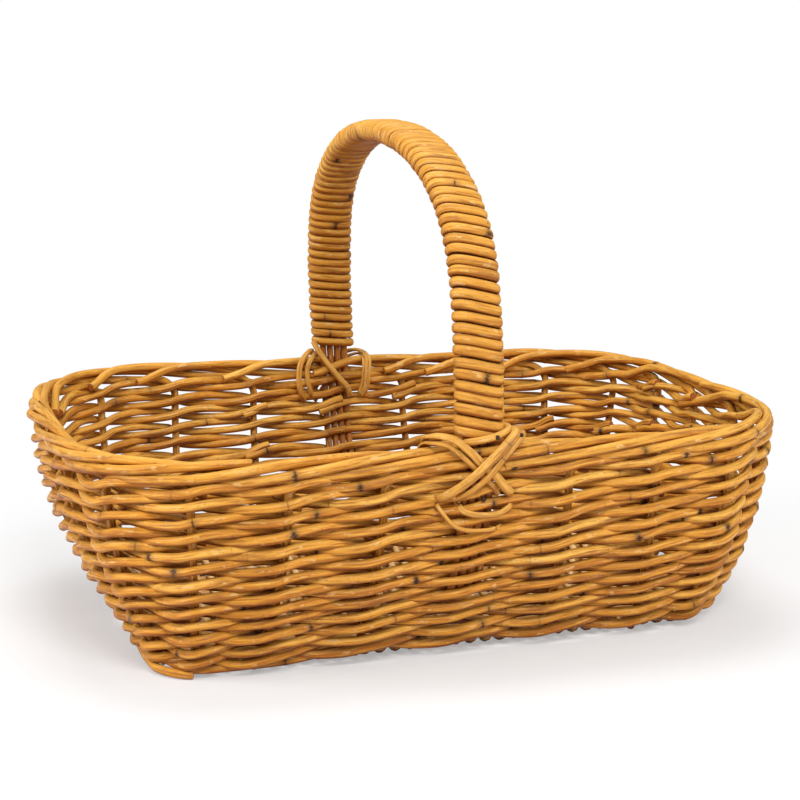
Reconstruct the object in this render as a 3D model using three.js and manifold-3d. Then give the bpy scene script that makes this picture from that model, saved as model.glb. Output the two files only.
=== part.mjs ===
// A market basket of whole cane: a woven base, flared walls in pairing weave, a rolled border
// and a fixed arched handle with a wound grip. Millimetres, +Z up, origin at the middle of the
// underside. The long sides face -Y and +Y, and the handle crosses from one to the other.
import * as THREE from 'three';
import { mergeVertices } from 'three/addons/utils/BufferGeometryUtils.js';
import Module from 'manifold-3d';

const wasm = await Module();
wasm.setup();

// Walls, measured at the middle plane of the weave.
const rimHalfLength = 232;
const rimHalfWidth = 166.5;
const rimCornerRadius = 93;
const footHalfLength = 188;
const footHalfWidth = 110.5;
const footCornerRadius = 44;
const wallHeight = 138.5;
const wallFootHeight = 1.8;
const footLean = THREE.MathUtils.degToRad(36);
const rimLean = THREE.MathUtils.degToRad(3);

// Canes.
const stakeRadius = 2.7;
const weaverRadius = 2.45;
const coreRadius = 2.6;
const lashingRadius = 1.9;
const baseStickRadius = 3.5;
const baseWeaverRadius = 1.9;
const wrapCaneWidth = 5.9;
const wrapCaneThickness = 4.8;

// Counts and ways of working.
const stakePlaces = 24;
const weaversInARound = 2;
const rodsInAWeaver = 5;
const borderTurnPerPlace = THREE.MathUtils.degToRad(75);
const borderRun = 3.65;
const coreCount = 4;
const wrapCanes = 4;
const mostLoopsInACane = 24;
const baseStickCount = 7;
const basePasses = 14;

// Handle, measured at the middle of the core.
const handleRise = 190;
const archSquareness = 2.75;
const coreDepthInWall = 96;
const lashingDrop = 42;
const hookReach = 0.5;

// Running clearances.
const caneGap = 0.3;
const wrapGap = 0.7;
const buttGap = 3;
const stepPlace = 18;
const groundFlat = 0.5;
const roundingSlack = 1e-6;

// Lengths along the leaning wall run from the foot up. Its profile is an arc that stands up
// straighter towards the rim.
const wallArcRadius = wallHeight / (Math.sin(footLean) - Math.sin(rimLean));
const wallRun = wallArcRadius * (footLean - rimLean);
const wallSpread = wallArcRadius * (Math.cos(rimLean) - Math.cos(footLean));

const longHalf = rimHalfLength - rimCornerRadius;
const shortHalf = rimHalfWidth - rimCornerRadius;
const cornerRun = rimCornerRadius * Math.PI / 2;
const quarterRun = longHalf + cornerRun + shortHalf;
const stakeSpacing = 4 * quarterRun / stakePlaces;
const backPlace = stakePlaces / 2;

// The lean at a run up the wall.
function leanAt(run) {
  return footLean - run / wallArcRadius;
}

// The height and the half sizes of the outline at a run up the wall.
function wallLevel(run) {
  const share = wallArcRadius * (Math.cos(leanAt(run)) - Math.cos(footLean)) / wallSpread;
  return {
    height: wallFootHeight + wallArcRadius * (Math.sin(footLean) - Math.sin(leanAt(run))),
    halfLength: THREE.MathUtils.lerp(footHalfLength, rimHalfLength, share),
    halfWidth: THREE.MathUtils.lerp(footHalfWidth, rimHalfWidth, share),
    cornerRadius: THREE.MathUtils.lerp(footCornerRadius, rimCornerRadius, share),
  };
}

// A point of one quarter of the outline, from the middle of a long side to the middle of an end.
function quarterPoint(distance, level) {
  const { halfLength, halfWidth, cornerRadius } = level;
  if (distance < longHalf) {
    return [(halfLength - cornerRadius) * distance / longHalf, halfWidth];
  }
  if (distance < longHalf + cornerRun) {
    const angle = (distance - longHalf) / rimCornerRadius;
    return [
      halfLength - cornerRadius + cornerRadius * Math.sin(angle),
      halfWidth - cornerRadius + cornerRadius * Math.cos(angle),
    ];
  }
  const left = (quarterRun - distance) / shortHalf;
  return [halfLength, (halfWidth - cornerRadius) * left];
}

// The middle of the wall at a stake place, counted anticlockwise from the middle of the front.
function wallPoint(place, run) {
  const level = wallLevel(run);
  const turns = place / stakePlaces;
  const distance = (turns - Math.floor(turns)) * 4 * quarterRun;
  const quarter = Math.min(3, Math.floor(distance / quarterRun));
  const along = distance - quarter * quarterRun;
  const [x, y] = quarterPoint(quarter % 2 === 0 ? along : quarterRun - along, level);
  const right = quarter < 2 ? 1 : -1;
  const back = quarter === 1 || quarter === 2 ? 1 : -1;
  return new THREE.Vector3(right * x, back * y, level.height);
}

// The wall's own directions at a place: along it, up it and out of it.
function wallFrame(place, run) {
  const step = 0.01;
  const along = wallPoint(place + step, run).sub(wallPoint(place - step, run)).normalize();
  const up = wallPoint(place, run + step).sub(wallPoint(place, run - step)).normalize();
  const out = new THREE.Vector3().crossVectors(along, up).normalize();
  return { middle: wallPoint(place, run), along, up, out };
}

// A point off the wall's middle plane: out of it and up it, in millimetres.
function wallOffset(place, run, outBy, upBy) {
  const frame = wallFrame(place, run);
  return {
    point: frame.middle.addScaledVector(frame.out, outBy).addScaledVector(frame.up, upBy),
    up: frame.up,
  };
}

// A closed cane with a four-sided section on its corner, carried along a path of points. Each
// path entry has its point and a direction that the section's height follows.
function cane(path, halfBreadth, halfHeight) {
  const corners = 4;
  const positions = [];
  path.forEach(({ point, up }, index) => {
    const before = path[Math.max(index - 1, 0)].point;
    const after = path[Math.min(index + 1, path.length - 1)].point;
    const ahead = new THREE.Vector3().subVectors(after, before).normalize();
    const side = new THREE.Vector3().crossVectors(ahead, up).normalize();
    const rise = new THREE.Vector3().crossVectors(side, ahead);
    for (let corner = 0; corner < corners; corner += 1) {
      const angle = corner * Math.PI / 2;
      const place = point.clone()
        .addScaledVector(side, halfBreadth * Math.cos(angle))
        .addScaledVector(rise, halfHeight * Math.sin(angle));
      positions.push(place.x, place.y, place.z);
    }
  });
  const faces = [];
  for (let ring = 0; ring < path.length - 1; ring += 1) {
    for (let corner = 0; corner < corners; corner += 1) {
      const a = ring * corners + corner;
      const b = ring * corners + (corner + 1) % corners;
      faces.push(a, b + corners, b, a, a + corners, b + corners);
    }
  }
  const last = (path.length - 1) * corners;
  faces.push(0, 1, 2, 0, 2, 3);
  faces.push(last, last + 2, last + 1, last, last + 3, last + 2);
  const geometry = new THREE.BufferGeometry();
  geometry.setAttribute('position', new THREE.Float32BufferAttribute(positions, 3));
  geometry.setIndex(faces);
  return geometry;
}

// A ready-made shape with the points that its faces share merged into one.
function merged(geometry) {
  geometry.deleteAttribute('normal');
  geometry.deleteAttribute('uv');
  return mergeVertices(geometry);
}

// The solid of a closed geometry, and back again, for a cut.
function toSolid(geometry) {
  return new wasm.Manifold(new wasm.Mesh({
    numProp: 3,
    vertProperties: new Float32Array(geometry.getAttribute('position').array),
    triVerts: new Uint32Array(geometry.getIndex().array),
  }));
}

function fromSolid(solid) {
  const mesh = solid.getMesh();
  const geometry = new THREE.BufferGeometry();
  geometry.setAttribute('position', new THREE.Float32BufferAttribute(mesh.vertProperties, 3));
  geometry.setIndex(Array.from(mesh.triVerts));
  return geometry;
}

// How far the strands stand off the wall's middle plane, so that the sharpest bend round a
// stake, at a corner of the first round, still clears it.
const strandLift = weaverRadius + caneGap / 2;
const roundPitch = 2 * (strandLift + weaverRadius) + caneGap;
const borderRadius = (2 * stakeRadius + caneGap)
  / (2 * Math.sin(borderTurnPerPlace / 2) * Math.cos(borderTurnPerPlace / 4));
const borderStart = borderTurnPerPlace / 2 - Math.PI / 2;
const topRound = wallRun + borderRadius * Math.sin(borderStart) - strandLift
  - Math.sqrt((2 * stakeRadius + caneGap) ** 2 - (borderRadius * Math.cos(borderStart)) ** 2);
const rounds = Math.floor((topRound - weaverRadius - strandLift) / roundPitch) + 1;
const firstRound = topRound - (rounds - 1) * roundPitch;

function strandStandOff() {
  const cornerStep = stakeSpacing / 2 * wallLevel(firstRound).cornerRadius / rimCornerRadius;
  const bend = Math.atan((stakeRadius + weaverRadius) / cornerStep)
    + stakeSpacing / rimCornerRadius / 4;
  return stakeRadius + (weaverRadius + caneGap) / Math.cos(bend);
}

const standOff = strandStandOff();
const coreSpacing = 2 * coreRadius + caneGap;
const coreHalfWidth = coreSpacing * (coreCount - 1) / 2 + coreRadius;
const handleHalfPlace = (coreHalfWidth + weaverRadius) / stakeSpacing;

function isHandlePlace(place) {
  return place % backPlace === 0;
}

// The places where a weaver's path has a point: at each stake and halfway to the next, and at
// both edges of the handle's core.
function weaverPlaces(from, to) {
  const places = [];
  for (let half = Math.ceil(2 * from); half <= Math.floor(2 * to); half += 1) {
    const place = half / 2;
    if (isHandlePlace(place)) {
      places.push(place - handleHalfPlace, place + handleHalfPlace);
    } else {
      places.push(place);
    }
  }
  return places;
}

// One rod of pairing weave. The two weavers of a round pass each stake on opposite sides and
// cross between stakes, the one that goes in passing over. Rounds are level, and each climbs
// to the next in its last place. Places count on round after round.
function weaverRod(from, to, sign) {
  const butt = buttGap / 2 / stakeSpacing;
  const places = weaverPlaces(from + stepPlace, to + stepPlace);
  places[0] += butt;
  places[places.length - 1] -= butt;
  const path = places.map((place) => {
    const count = place - stepPlace;
    const turns = Math.floor(count / stakePlaces);
    const climb = Math.max(0, count - turns * stakePlaces - (stakePlaces - 1));
    const run = firstRound + (turns + climb) * roundPitch;
    const nearest = Math.round(count);
    const passing = Math.abs(count - nearest) <= handleHalfPlace + roundingSlack;
    const inOut = sign * (nearest % 2 === 0 ? 1 : -1);
    const over = sign * (Math.floor(count) % 2 === 0 ? 1 : -1);
    return passing
      ? wallOffset(place, run, inOut * standOff, 0)
      : wallOffset(place, run, 0, over * strandLift);
  });
  return cane(path, weaverRadius, weaverRadius);
}

// Each weaver is made of rods that butt inside the basket, behind a stake and clear of the
// handle.
function weaverBreaks(sign) {
  const insideAt = sign > 0 ? 1 : 0;
  const total = rounds * stakePlaces - 2;
  const breaks = [];
  for (let rod = 0; rod <= rodsInAWeaver; rod += 1) {
    const count = 2 * Math.floor(total * rod / rodsInAWeaver / 2) + insideAt;
    breaks.push(isHandlePlace(count + stepPlace) ? count - 2 : count);
  }
  return breaks;
}

// The border: each stake turns over at the rim and runs on round a rope of canes, out, over
// the top and in, to end inside. Where the handle stands in it, the canes part round the core.
function borderPoint(place, stake) {
  const handle = Math.round(place / backPlace) * backPlace;
  const atHandle = Math.abs(place - handle) <= handleHalfPlace + roundingSlack;
  const turned = atHandle ? handle : place;
  const angle = -Math.PI / 2 + borderTurnPerPlace * (turned - stake);
  const outBy = borderRadius * Math.cos(angle);
  const clear = atHandle ? coreRadius + stakeRadius + caneGap : 0;
  const stand = Math.sign(outBy) * Math.max(Math.abs(outBy), clear);
  return wallOffset(place, wallRun, stand, borderRadius * Math.sin(angle));
}

function borderPlaces(stake, from) {
  const places = [];
  for (let half = 1; half / 2 < borderRun; half += 1) {
    const place = stake + half / 2;
    if (half / 2 < from) {
      continue;
    }
    if (isHandlePlace(place)) {
      places.push(place - handleHalfPlace, place + handleHalfPlace);
    } else {
      places.push(place);
    }
  }
  places.push(stake + borderRun);
  return places;
}

// A stake: up through the weave from the foot, then along the border.
function stake(place) {
  const uprightPoints = 6;
  const footRun = stakeRadius / 2;
  const bendRun = wallRun - borderRadius - 2 * stakeRadius;
  const path = [];
  for (let index = 0; index < uprightPoints; index += 1) {
    const run = THREE.MathUtils.lerp(footRun, bendRun, index / (uprightPoints - 1));
    const frame = wallFrame(place, run);
    path.push({ point: frame.middle, up: frame.out });
  }
  const bend = wallOffset(place + 0.05, wallRun - borderRadius, 0, 0);
  path.push({ point: bend.point, up: wallFrame(place, wallRun).out });
  for (const at of borderPlaces(place, 0)) {
    const { point } = borderPoint(at, place);
    path.push({ point, up: wallFrame(at, wallRun).out });
  }
  return cane(path, stakeRadius, stakeRadius);
}

// The handle takes a stake's place in the wall, so a short cane fills the border from there.
function borderFiller(place) {
  const start = handleHalfPlace + stakeRadius / stakeSpacing;
  const path = [place + start, ...borderPlaces(place, start)].map((at) => ({
    point: borderPoint(at, place).point,
    up: wallFrame(at, wallRun).out,
  }));
  return cane(path, stakeRadius, stakeRadius);
}

// The arch of the handle, from the middle of the front border to that of the back one, as
// points at equal steps of length with the direction of the arch at each.
const archSteps = 18;

function archCurve(share) {
  const angle = Math.PI * share;
  const power = 2 / archSquareness;
  const across = Math.sign(Math.cos(angle)) * Math.abs(Math.cos(angle)) ** power;
  const span = wallLevel(wallRun);
  return new THREE.Vector3(
    0,
    -span.halfWidth * across,
    span.height + handleRise * Math.sin(angle) ** power,
  );
}

function archPoints() {
  const fine = [];
  const fineSteps = 900;
  for (let index = 0; index <= fineSteps; index += 1) {
    fine.push(archCurve(index / fineSteps));
  }
  const curve = new THREE.CatmullRomCurve3(fine, false, 'centripetal');
  curve.arcLengthDivisions = fineSteps;
  return curve.getSpacedPoints(archSteps);
}

const archLine = archPoints();
const archStep = archLine[0].distanceTo(archLine[1]);
const archLength = archStep * archSteps;

function archDirection(index) {
  const before = archLine[Math.max(index - 1, 0)];
  const after = archLine[Math.min(index + 1, archSteps)];
  return new THREE.Vector3().subVectors(after, before).normalize();
}

// The point, the direction and the outward side of the arch at a length along it.
function archAt(length) {
  const place = THREE.MathUtils.clamp(length / archStep, 0, archSteps - roundingSlack);
  const index = Math.floor(place);
  const share = place - index;
  const ahead = archDirection(index).lerp(archDirection(index + 1), share).normalize();
  return {
    point: archLine[index].clone().lerp(archLine[index + 1], share),
    ahead,
    out: new THREE.Vector3().crossVectors(ahead, new THREE.Vector3(1, 0, 0)).normalize(),
  };
}

// One cane of the handle's core: up the front wall like a stake, over the arch, down the back.
function coreCane(offset) {
  const wallSteps = 4;
  const leg = [];
  for (let index = 0; index < wallSteps; index += 1) {
    leg.push(wallRun - coreDepthInWall * (1 - index / wallSteps));
  }
  const shift = new THREE.Vector3(offset, 0, 0);
  const front = leg.map((run) => wallPoint(0, run));
  const back = leg.map((run) => wallPoint(backPlace, run)).reverse();
  const across = new THREE.Vector3(1, 0, 0);
  const path = [...front, ...archLine, ...back].map((point) => ({
    point: point.clone().add(shift),
    up: across,
  }));
  return cane(path, coreRadius, coreRadius);
}

// The grip: whole cane wound close round the core, each turn six points. A turn goes round
// the outer canes of the core at an even clearance.
const wrapStart = borderRadius + stakeRadius + caneGap + wrapCaneWidth;
const wrapLength = archLength - 2 * wrapStart;
const wrapLoops = Math.min(
  mostLoopsInACane,
  Math.floor(wrapLength / wrapCanes / (wrapCaneWidth + wrapGap)),
);
const wrapPitch = wrapLength / wrapCanes / wrapLoops;

function wrapTurnPoints() {
  const reach = (coreRadius + caneGap) / Math.cos(Math.PI / 6) + wrapCaneThickness / 2;
  const outerCore = coreHalfWidth - coreRadius;
  return [0, 60, 120, 180, 240, 300].map((degrees) => {
    const angle = THREE.MathUtils.degToRad(degrees);
    const lean = Math.cos(angle);
    return [Math.sign(lean) * outerCore + reach * lean, reach * Math.sin(angle)];
  });
}

function wrapPath(number) {
  const turn = wrapTurnPoints();
  const start = wrapStart + number * wrapLoops * wrapPitch;
  const path = [];
  for (let index = 0; index < wrapLoops * turn.length; index += 1) {
    const { point, ahead, out } = archAt(start + index / turn.length * wrapPitch);
    const [across, lift] = turn[index % turn.length];
    point.x += across;
    point.addScaledVector(out, lift);
    path.push({ point, up: ahead });
  }
  return path;
}

// The least gap between one turn of a winding and the next, measured from point to point.
function leastTurnGap(path) {
  const turn = wrapTurnPoints().length;
  let least = Infinity;
  for (let index = turn; index < path.length; index += 1) {
    least = Math.min(least, path[index].point.distanceTo(path[index - turn].point));
  }
  return least - wrapCaneWidth;
}

// The lashing at each foot of the handle: two canes that hang down inside the wall, hook over
// the border and cross on the outer face, the second over the first.
function lashingPath(place, side) {
  const overBorder = borderRadius + stakeRadius + lashingRadius + caneGap;
  const overFace = standOff + weaverRadius + lashingRadius + caneGap;
  const flat = Math.max(overBorder / Math.cos(Math.PI / 8), overFace);
  const raised = flat + (side > 0 ? 2 * lashingRadius + caneGap : 0);
  const footReach = handleHalfPlace + 4 * lashingRadius / stakeSpacing;
  const inner = [[-hookReach, -lashingDrop, -flat]];
  const hook = [180, 135, 90, 45, 0].map((degrees) => {
    const angle = THREE.MathUtils.degToRad(degrees);
    return [-hookReach, flat * Math.sin(angle), flat * Math.cos(angle)];
  });
  const outer = [[0, -lashingDrop / 2, raised], [footReach, -lashingDrop, flat]];
  return [...inner, ...hook, ...outer].map(([across, upBy, outBy]) => {
    const at = place - side * across;
    const run = wallRun + Math.min(upBy, 0);
    const { point } = wallOffset(at, run, outBy, Math.max(upBy, 0));
    return { point, up: wallFrame(place, wallRun).along };
  });
}

// The base: thick sticks along its length with one fine cane woven to and fro across them. It
// fits inside the foot of the walls, and the middle stick ends against the stakes there.
const baseWeaverSlope = THREE.MathUtils.degToRad(20);
const baseStandOff = (baseStickRadius + baseWeaverRadius + caneGap) / Math.cos(baseWeaverSlope);
const turnReach = 1.04;
const turnRise = 0.66;
const baseMiddle = baseStandOff + baseWeaverRadius - groundFlat;
const stickUnderside = baseMiddle - baseStickRadius;
const stakeAtStick = wallLevel((stickUnderside - wallFootHeight) / Math.cos(footLean));
const baseHalfLength = stakeAtStick.halfLength - stakeRadius / Math.cos(footLean) - caneGap;
const baseHalfWidth = footHalfWidth - 2 * baseWeaverRadius;
const baseCornerRadius = footCornerRadius;
const outerStickY = baseHalfWidth - baseStickRadius - baseWeaverRadius - caneGap;

function baseStickY(index) {
  return THREE.MathUtils.mapLinear(index, 0, baseStickCount - 1, -outerStickY, outerStickY);
}

// How far a stick reaches along the base before the rounded corner cuts it short.
function baseStickReach(y) {
  const into = Math.max(0, Math.abs(y) - (baseHalfWidth - baseCornerRadius));
  return baseHalfLength - baseCornerRadius + Math.sqrt(baseCornerRadius ** 2 - into ** 2);
}

function baseStick(index) {
  const reach = baseStickReach(baseStickY(index));
  return merged(new THREE.CylinderGeometry(baseStickRadius, baseStickRadius, 2 * reach, 8));
}

function baseWeaver() {
  const up = new THREE.Vector3(0, 0, 1);
  const margin = baseStickReach(outerStickY) - 4 * baseWeaverRadius;
  const pitch = 2 * margin / (basePasses - 1);
  const path = [];
  for (let pass = 0; pass < basePasses; pass += 1) {
    const x = -margin + pass * pitch;
    const forward = pass % 2 === 0;
    for (let step = 0; step < baseStickCount; step += 1) {
      const index = forward ? step : baseStickCount - 1 - step;
      const over = (pass + index) % 2 === 0 ? 1 : -1;
      path.push({
        point: new THREE.Vector3(x, baseStickY(index), baseMiddle + over * baseStandOff),
        up,
      });
    }
    if (pass < basePasses - 1) {
      const edge = (forward ? 1 : -1) * (outerStickY + baseStandOff * turnReach);
      const over = (pass + (forward ? baseStickCount - 1 : 0)) % 2 === 0 ? 1 : -1;
      for (const side of [over, -over]) {
        const z = baseMiddle + side * baseStandOff * turnRise;
        path.push({ point: new THREE.Vector3(x + pitch * (1 - side * over / 3) / 2, edge, z), up });
      }
    }
  }
  const ground = new THREE.BoxGeometry(4 * rimHalfLength, 4 * rimHalfWidth, wallHeight);
  ground.translate(0, 0, -wallHeight / 2);
  const woven = toSolid(cane(path, baseWeaverRadius, baseWeaverRadius));
  return fromSolid(woven.subtract(toSolid(merged(ground))));
}

const finishes = {
  stake: { color: '#b9772f', roughness: 0.6 },
  weaver: { color: '#d6a04a', roughness: 0.55 },
  core: { color: '#a9642a', roughness: 0.62 },
  wrap: { color: '#dca94f', roughness: 0.5 },
  lashing: { color: '#e0b057', roughness: 0.5 },
  baseStick: { color: '#b3742f', roughness: 0.65 },
  baseWeaver: { color: '#c08a42', roughness: 0.65 },
};

const basket = new THREE.Group();

function addPiece(parent, name, geometry, finish) {
  const material = new THREE.MeshStandardMaterial({
    ...finish,
    metalness: 0,
    flatShading: true,
  });
  const mesh = new THREE.Mesh(geometry, material);
  mesh.name = name;
  parent.add(mesh);
  return mesh;
}

const base = new THREE.Group();
basket.add(base);
for (let index = 0; index < baseStickCount; index += 1) {
  const stick = addPiece(base, `base_stick_${index + 1}`, baseStick(index), finishes.baseStick);
  stick.rotation.z = Math.PI / 2;
  stick.position.set(0, baseStickY(index), baseMiddle);
}
addPiece(base, 'base_weaver', baseWeaver(), finishes.baseWeaver);

const walls = new THREE.Group();
basket.add(walls);
let stakeNumber = 0;
for (let place = 0; place < stakePlaces; place += 1) {
  if (isHandlePlace(place)) {
    const end = place === 0 ? 'front' : 'back';
    addPiece(walls, `border_filler_${end}`, borderFiller(place), finishes.stake);
  } else {
    stakeNumber += 1;
    const label = String(stakeNumber).padStart(2, '0');
    addPiece(walls, `stake_${label}`, stake(place), finishes.stake);
  }
}
for (let weaver = 0; weaver < weaversInARound; weaver += 1) {
  const sign = weaver === 0 ? 1 : -1;
  const letter = weaver === 0 ? 'a' : 'b';
  const breaks = weaverBreaks(sign);
  for (let rod = 0; rod < rodsInAWeaver; rod += 1) {
    addPiece(walls, `side_weaver_${letter}${rod + 1}`,
      weaverRod(breaks[rod], breaks[rod + 1], sign), finishes.weaver);
  }
}

const handle = new THREE.Group();
basket.add(handle);
for (let index = 0; index < coreCount; index += 1) {
  const offset = (index - (coreCount - 1) / 2) * coreSpacing;
  addPiece(handle, `handle_core_${index + 1}`, coreCane(offset), finishes.core);
}
let leastGap = Infinity;
for (let number = 0; number < wrapCanes; number += 1) {
  const path = wrapPath(number);
  leastGap = Math.min(leastGap, leastTurnGap(path));
  addPiece(handle, `handle_wrap_${number + 1}`,
    cane(path, wrapCaneThickness / 2, wrapCaneWidth / 2), finishes.wrap);
}
console.log(`walls: ${rounds} rounds, ${roundPitch.toFixed(2)} mm apart`);
console.log(`grip: ${wrapCanes} canes of ${wrapLoops} turns, least gap ${leastGap.toFixed(2)} mm`);
for (const [end, place] of [['front', 0], ['back', backPlace]]) {
  for (const [letter, side] of [['a', -1], ['b', 1]]) {
    addPiece(handle, `lashing_${end}_${letter}`,
      cane(lashingPath(place, side), lashingRadius, lashingRadius), finishes.lashing);
  }
}

export default basket;
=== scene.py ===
"""An oblong cane basket with a fixed arched handle: every cane of it as a weaver lays it.

Lengths are in millimetres until a mesh is made, and in metres in Blender. The frame is that of
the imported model: +X along the long side, +Y from the front to the back, +Z up, and the origin
in the middle of the underside. Stake places are the 24 steps round the walls, counted
anticlockwise from the middle of the front. A run is a length up the wall from its foot.
"""

import logging
import math
from dataclasses import dataclass, field
from enum import Enum
from functools import cache

import bpy
import numpy as np
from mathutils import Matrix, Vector


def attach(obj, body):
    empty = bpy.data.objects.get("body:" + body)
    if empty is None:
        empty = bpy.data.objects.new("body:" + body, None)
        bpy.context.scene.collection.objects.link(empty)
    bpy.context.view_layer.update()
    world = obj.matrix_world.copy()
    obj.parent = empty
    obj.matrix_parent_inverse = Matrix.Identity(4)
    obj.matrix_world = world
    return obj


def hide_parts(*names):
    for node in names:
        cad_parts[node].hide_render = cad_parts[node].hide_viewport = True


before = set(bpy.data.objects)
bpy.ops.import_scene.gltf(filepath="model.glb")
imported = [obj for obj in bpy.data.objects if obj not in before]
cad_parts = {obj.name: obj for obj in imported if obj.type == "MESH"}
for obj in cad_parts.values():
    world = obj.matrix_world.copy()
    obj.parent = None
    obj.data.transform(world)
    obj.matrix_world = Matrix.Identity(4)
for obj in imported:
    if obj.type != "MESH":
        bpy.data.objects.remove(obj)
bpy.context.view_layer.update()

log = logging.getLogger("basket")

Array = np.ndarray
Triple = tuple[float, float, float]
Colour = Triple
Knots = tuple[Triple, ...]
Wander = tuple[float, float]
Socket = bpy.types.NodeSocket
Material = bpy.types.Material

MM = 0.001
X_AXIS = np.array([1.0, 0.0, 0.0])
Z_AXIS = np.array([0.0, 0.0, 1.0])
SPLINE_POINTS = 24


class Side(Enum):
    """The two long sides of the basket, named by the place of the handle's foot there."""

    FRONT = 0
    BACK = 12


def unit(vectors: Array) -> Array:
    """Scales each vector v of an array to length one, v / |v|."""
    return vectors / np.linalg.norm(vectors, axis=-1, keepdims=True)


def between(low: float | Array, high: float | Array, share: float | Array) -> float | Array:
    """Goes from low to high as a share goes from 0 to 1."""
    return low + share * (high - low)


def smooth_step(values: Array) -> Array:
    """Eases values from 0 to 1 as 3t^2 - 2t^3, held at both ends."""
    held = np.clip(values, 0.0, 1.0)
    return held * held * (3.0 - 2.0 * held)


def soft_bump(away: Array) -> Array:
    """A bump (1 + cos(pi d)) / 2 over a distance d, and nothing past a distance of one."""
    return (1.0 + np.cos(np.pi * np.minimum(away, 1.0))) / 2.0


def bell(values: Array, middle: float, width: float) -> Array:
    """A bell curve exp(-((v - m) / w)^2)."""
    return np.exp(-(((values - middle) / width) ** 2))


def bent(wave: Array, power: float | Array) -> Array:
    """A wave raised to a power with its signs kept, sgn(w) |w|^p."""
    return np.sign(wave) * np.abs(wave) ** power


def capped(rows: Array) -> Array:
    """Repeats the first and the last row of an array, for the rings of a cane's cut ends."""
    return np.concatenate([rows[:1], rows, rows[-1:]])


def lengths_along(path: Array) -> Array:
    """The running length at each point of a path, as the sum of its chords up to there."""
    chords = np.linalg.norm(np.diff(path, axis=0), axis=1)
    return np.concatenate([[0.0], np.cumsum(chords)])


def at_lengths(path: Array, values: Array, lengths: Array) -> Array:
    """Reads an array that goes with a path at given running lengths, linearly.

    Args:
        path: Points, one row each.
        values: One row for each point of the path.
        lengths: The running lengths that are wanted.

    Returns:
        The values there, one row each.
    """
    run = lengths_along(path)
    return np.stack([np.interp(lengths, run, column) for column in values.T], axis=1)


def eased_curve(points: Array, step: float) -> Array:
    """A smooth curve through points, as a Catmull-Rom spline.

    Between the second and third of four successive points a, b, c and d it is
    b + t(c-a)/2 + t^2(a-5b/2+2c-d/2) + t^3(3b-a-3c+d)/2.

    Args:
        points: The points that the curve passes through.
        step: The length of cane between two points of the result.

    Returns:
        Points at even steps along the curve.
    """
    first = 2.0 * points[:1] - points[1:2]
    last = 2.0 * points[-1:] - points[-2:-1]
    full = np.concatenate([first, points, last])
    a, b, c, d = (part[:, None, :] for part in (full[:-3], full[1:-2], full[2:-1], full[3:]))
    t = np.linspace(0.0, 1.0, SPLINE_POINTS, endpoint=False)[None, :, None]
    curve = (b + t * (c - a) / 2 + t**2 * (a - 2.5 * b + 2 * c - d / 2)
             + t**3 * (3 * b - a - 3 * c + d) / 2)
    dense = np.concatenate([curve.reshape(-1, 3), points[-1:]])
    total = lengths_along(dense)[-1]
    even = np.linspace(0.0, total, max(2, int(round(total / step)) + 1))
    return at_lengths(dense, dense, even)


def relaxed(path: Array, passes: int) -> Array:
    """Rounds the bends of a path, each point becoming (a + 2b + c) / 4, with its ends kept.

    Args:
        path: Points, one row each.
        passes: How many times it is done.

    Returns:
        The path with softer bends.
    """
    for _ in range(passes):
        inner = (path[:-2] + 2.0 * path[1:-1] + path[2:]) / 4.0
        path = np.concatenate([path[:1], inner, path[-1:]])
    return path


def drift(rng: np.random.Generator, places: Array, knots_per_place: float,
          reach: float) -> Array:
    """A slow random wander along a cane, eased between random knots.

    Args:
        rng: The source of the random numbers.
        places: Where the wander is read, rising.
        knots_per_place: How many knots there are in one place.
        reach: The largest value of the wander.

    Returns:
        One value for each place.
    """
    at = (places - places[0]) * knots_per_place
    knots = rng.uniform(-reach, reach, int(np.ceil(at[-1])) + 2)
    whole = np.minimum(at.astype(int), len(knots) - 2)
    share = smooth_step(at - whole)
    return knots[whole] * (1.0 - share) + knots[whole + 1] * share


def tube_faces(ring_count: int, sides: int) -> tuple[Array, Array]:
    """The faces of a closed tube whose points are its rings in turn and then its two tips.

    Args:
        ring_count: How many rings there are.
        sides: How many points a ring has.

    Returns:
        The four-sided faces between the rings, and the three-sided ones round the tips.
    """
    side = np.arange(sides)
    following = (side + 1) % sides
    ring = np.arange(ring_count - 1)[:, None] * sides
    quads = np.stack([ring + side, ring + sides + side, ring + sides + following,
                      ring + following], axis=-1).reshape(-1, 4)
    tip = ring_count * sides
    top = tip - sides
    fans = np.concatenate([
        np.stack([np.full(sides, tip), side, following], axis=1),
        np.stack([np.full(sides, tip + 1), top + following, top + side], axis=1)])
    return quads, fans


def mesh_object(name: str, points: Array, quads: Array, fans: Array) -> bpy.types.Object:
    """Makes a mesh object from four-sided faces, shaded smooth, and flat three-sided ones.

    Args:
        name: The object's name.
        points: Its points, in metres.
        quads: Four point numbers a face.
        fans: Three point numbers a face.

    Returns:
        The object, linked to the scene.
    """
    mesh = bpy.data.meshes.new(name)
    mesh.vertices.add(len(points))
    mesh.vertices.foreach_set("co", points.astype(np.float32).ravel())
    corners = np.concatenate([quads.ravel(), fans.ravel()]).astype(np.int32)
    mesh.loops.add(len(corners))
    mesh.loops.foreach_set("vertex_index", corners)
    starts = np.concatenate([np.arange(len(quads)) * 4,
                             len(quads) * 4 + np.arange(len(fans)) * 3]).astype(np.int32)
    mesh.polygons.add(len(starts))
    mesh.polygons.foreach_set("loop_start", starts)
    mesh.polygons.foreach_set("use_smooth", np.arange(len(starts)) < len(quads))
    mesh.update(calc_edges=True)
    mesh.validate()
    made = bpy.data.objects.new(name, mesh)
    bpy.context.scene.collection.objects.link(made)
    return made


@dataclass(frozen=True)
class CaneFinish:
    """The look of one kind of cane."""

    name: str
    slot: str
    pale: Colour
    gold: Colour
    dark: Colour
    stain: float = 0.5
    roughness: float = 0.44


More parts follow.
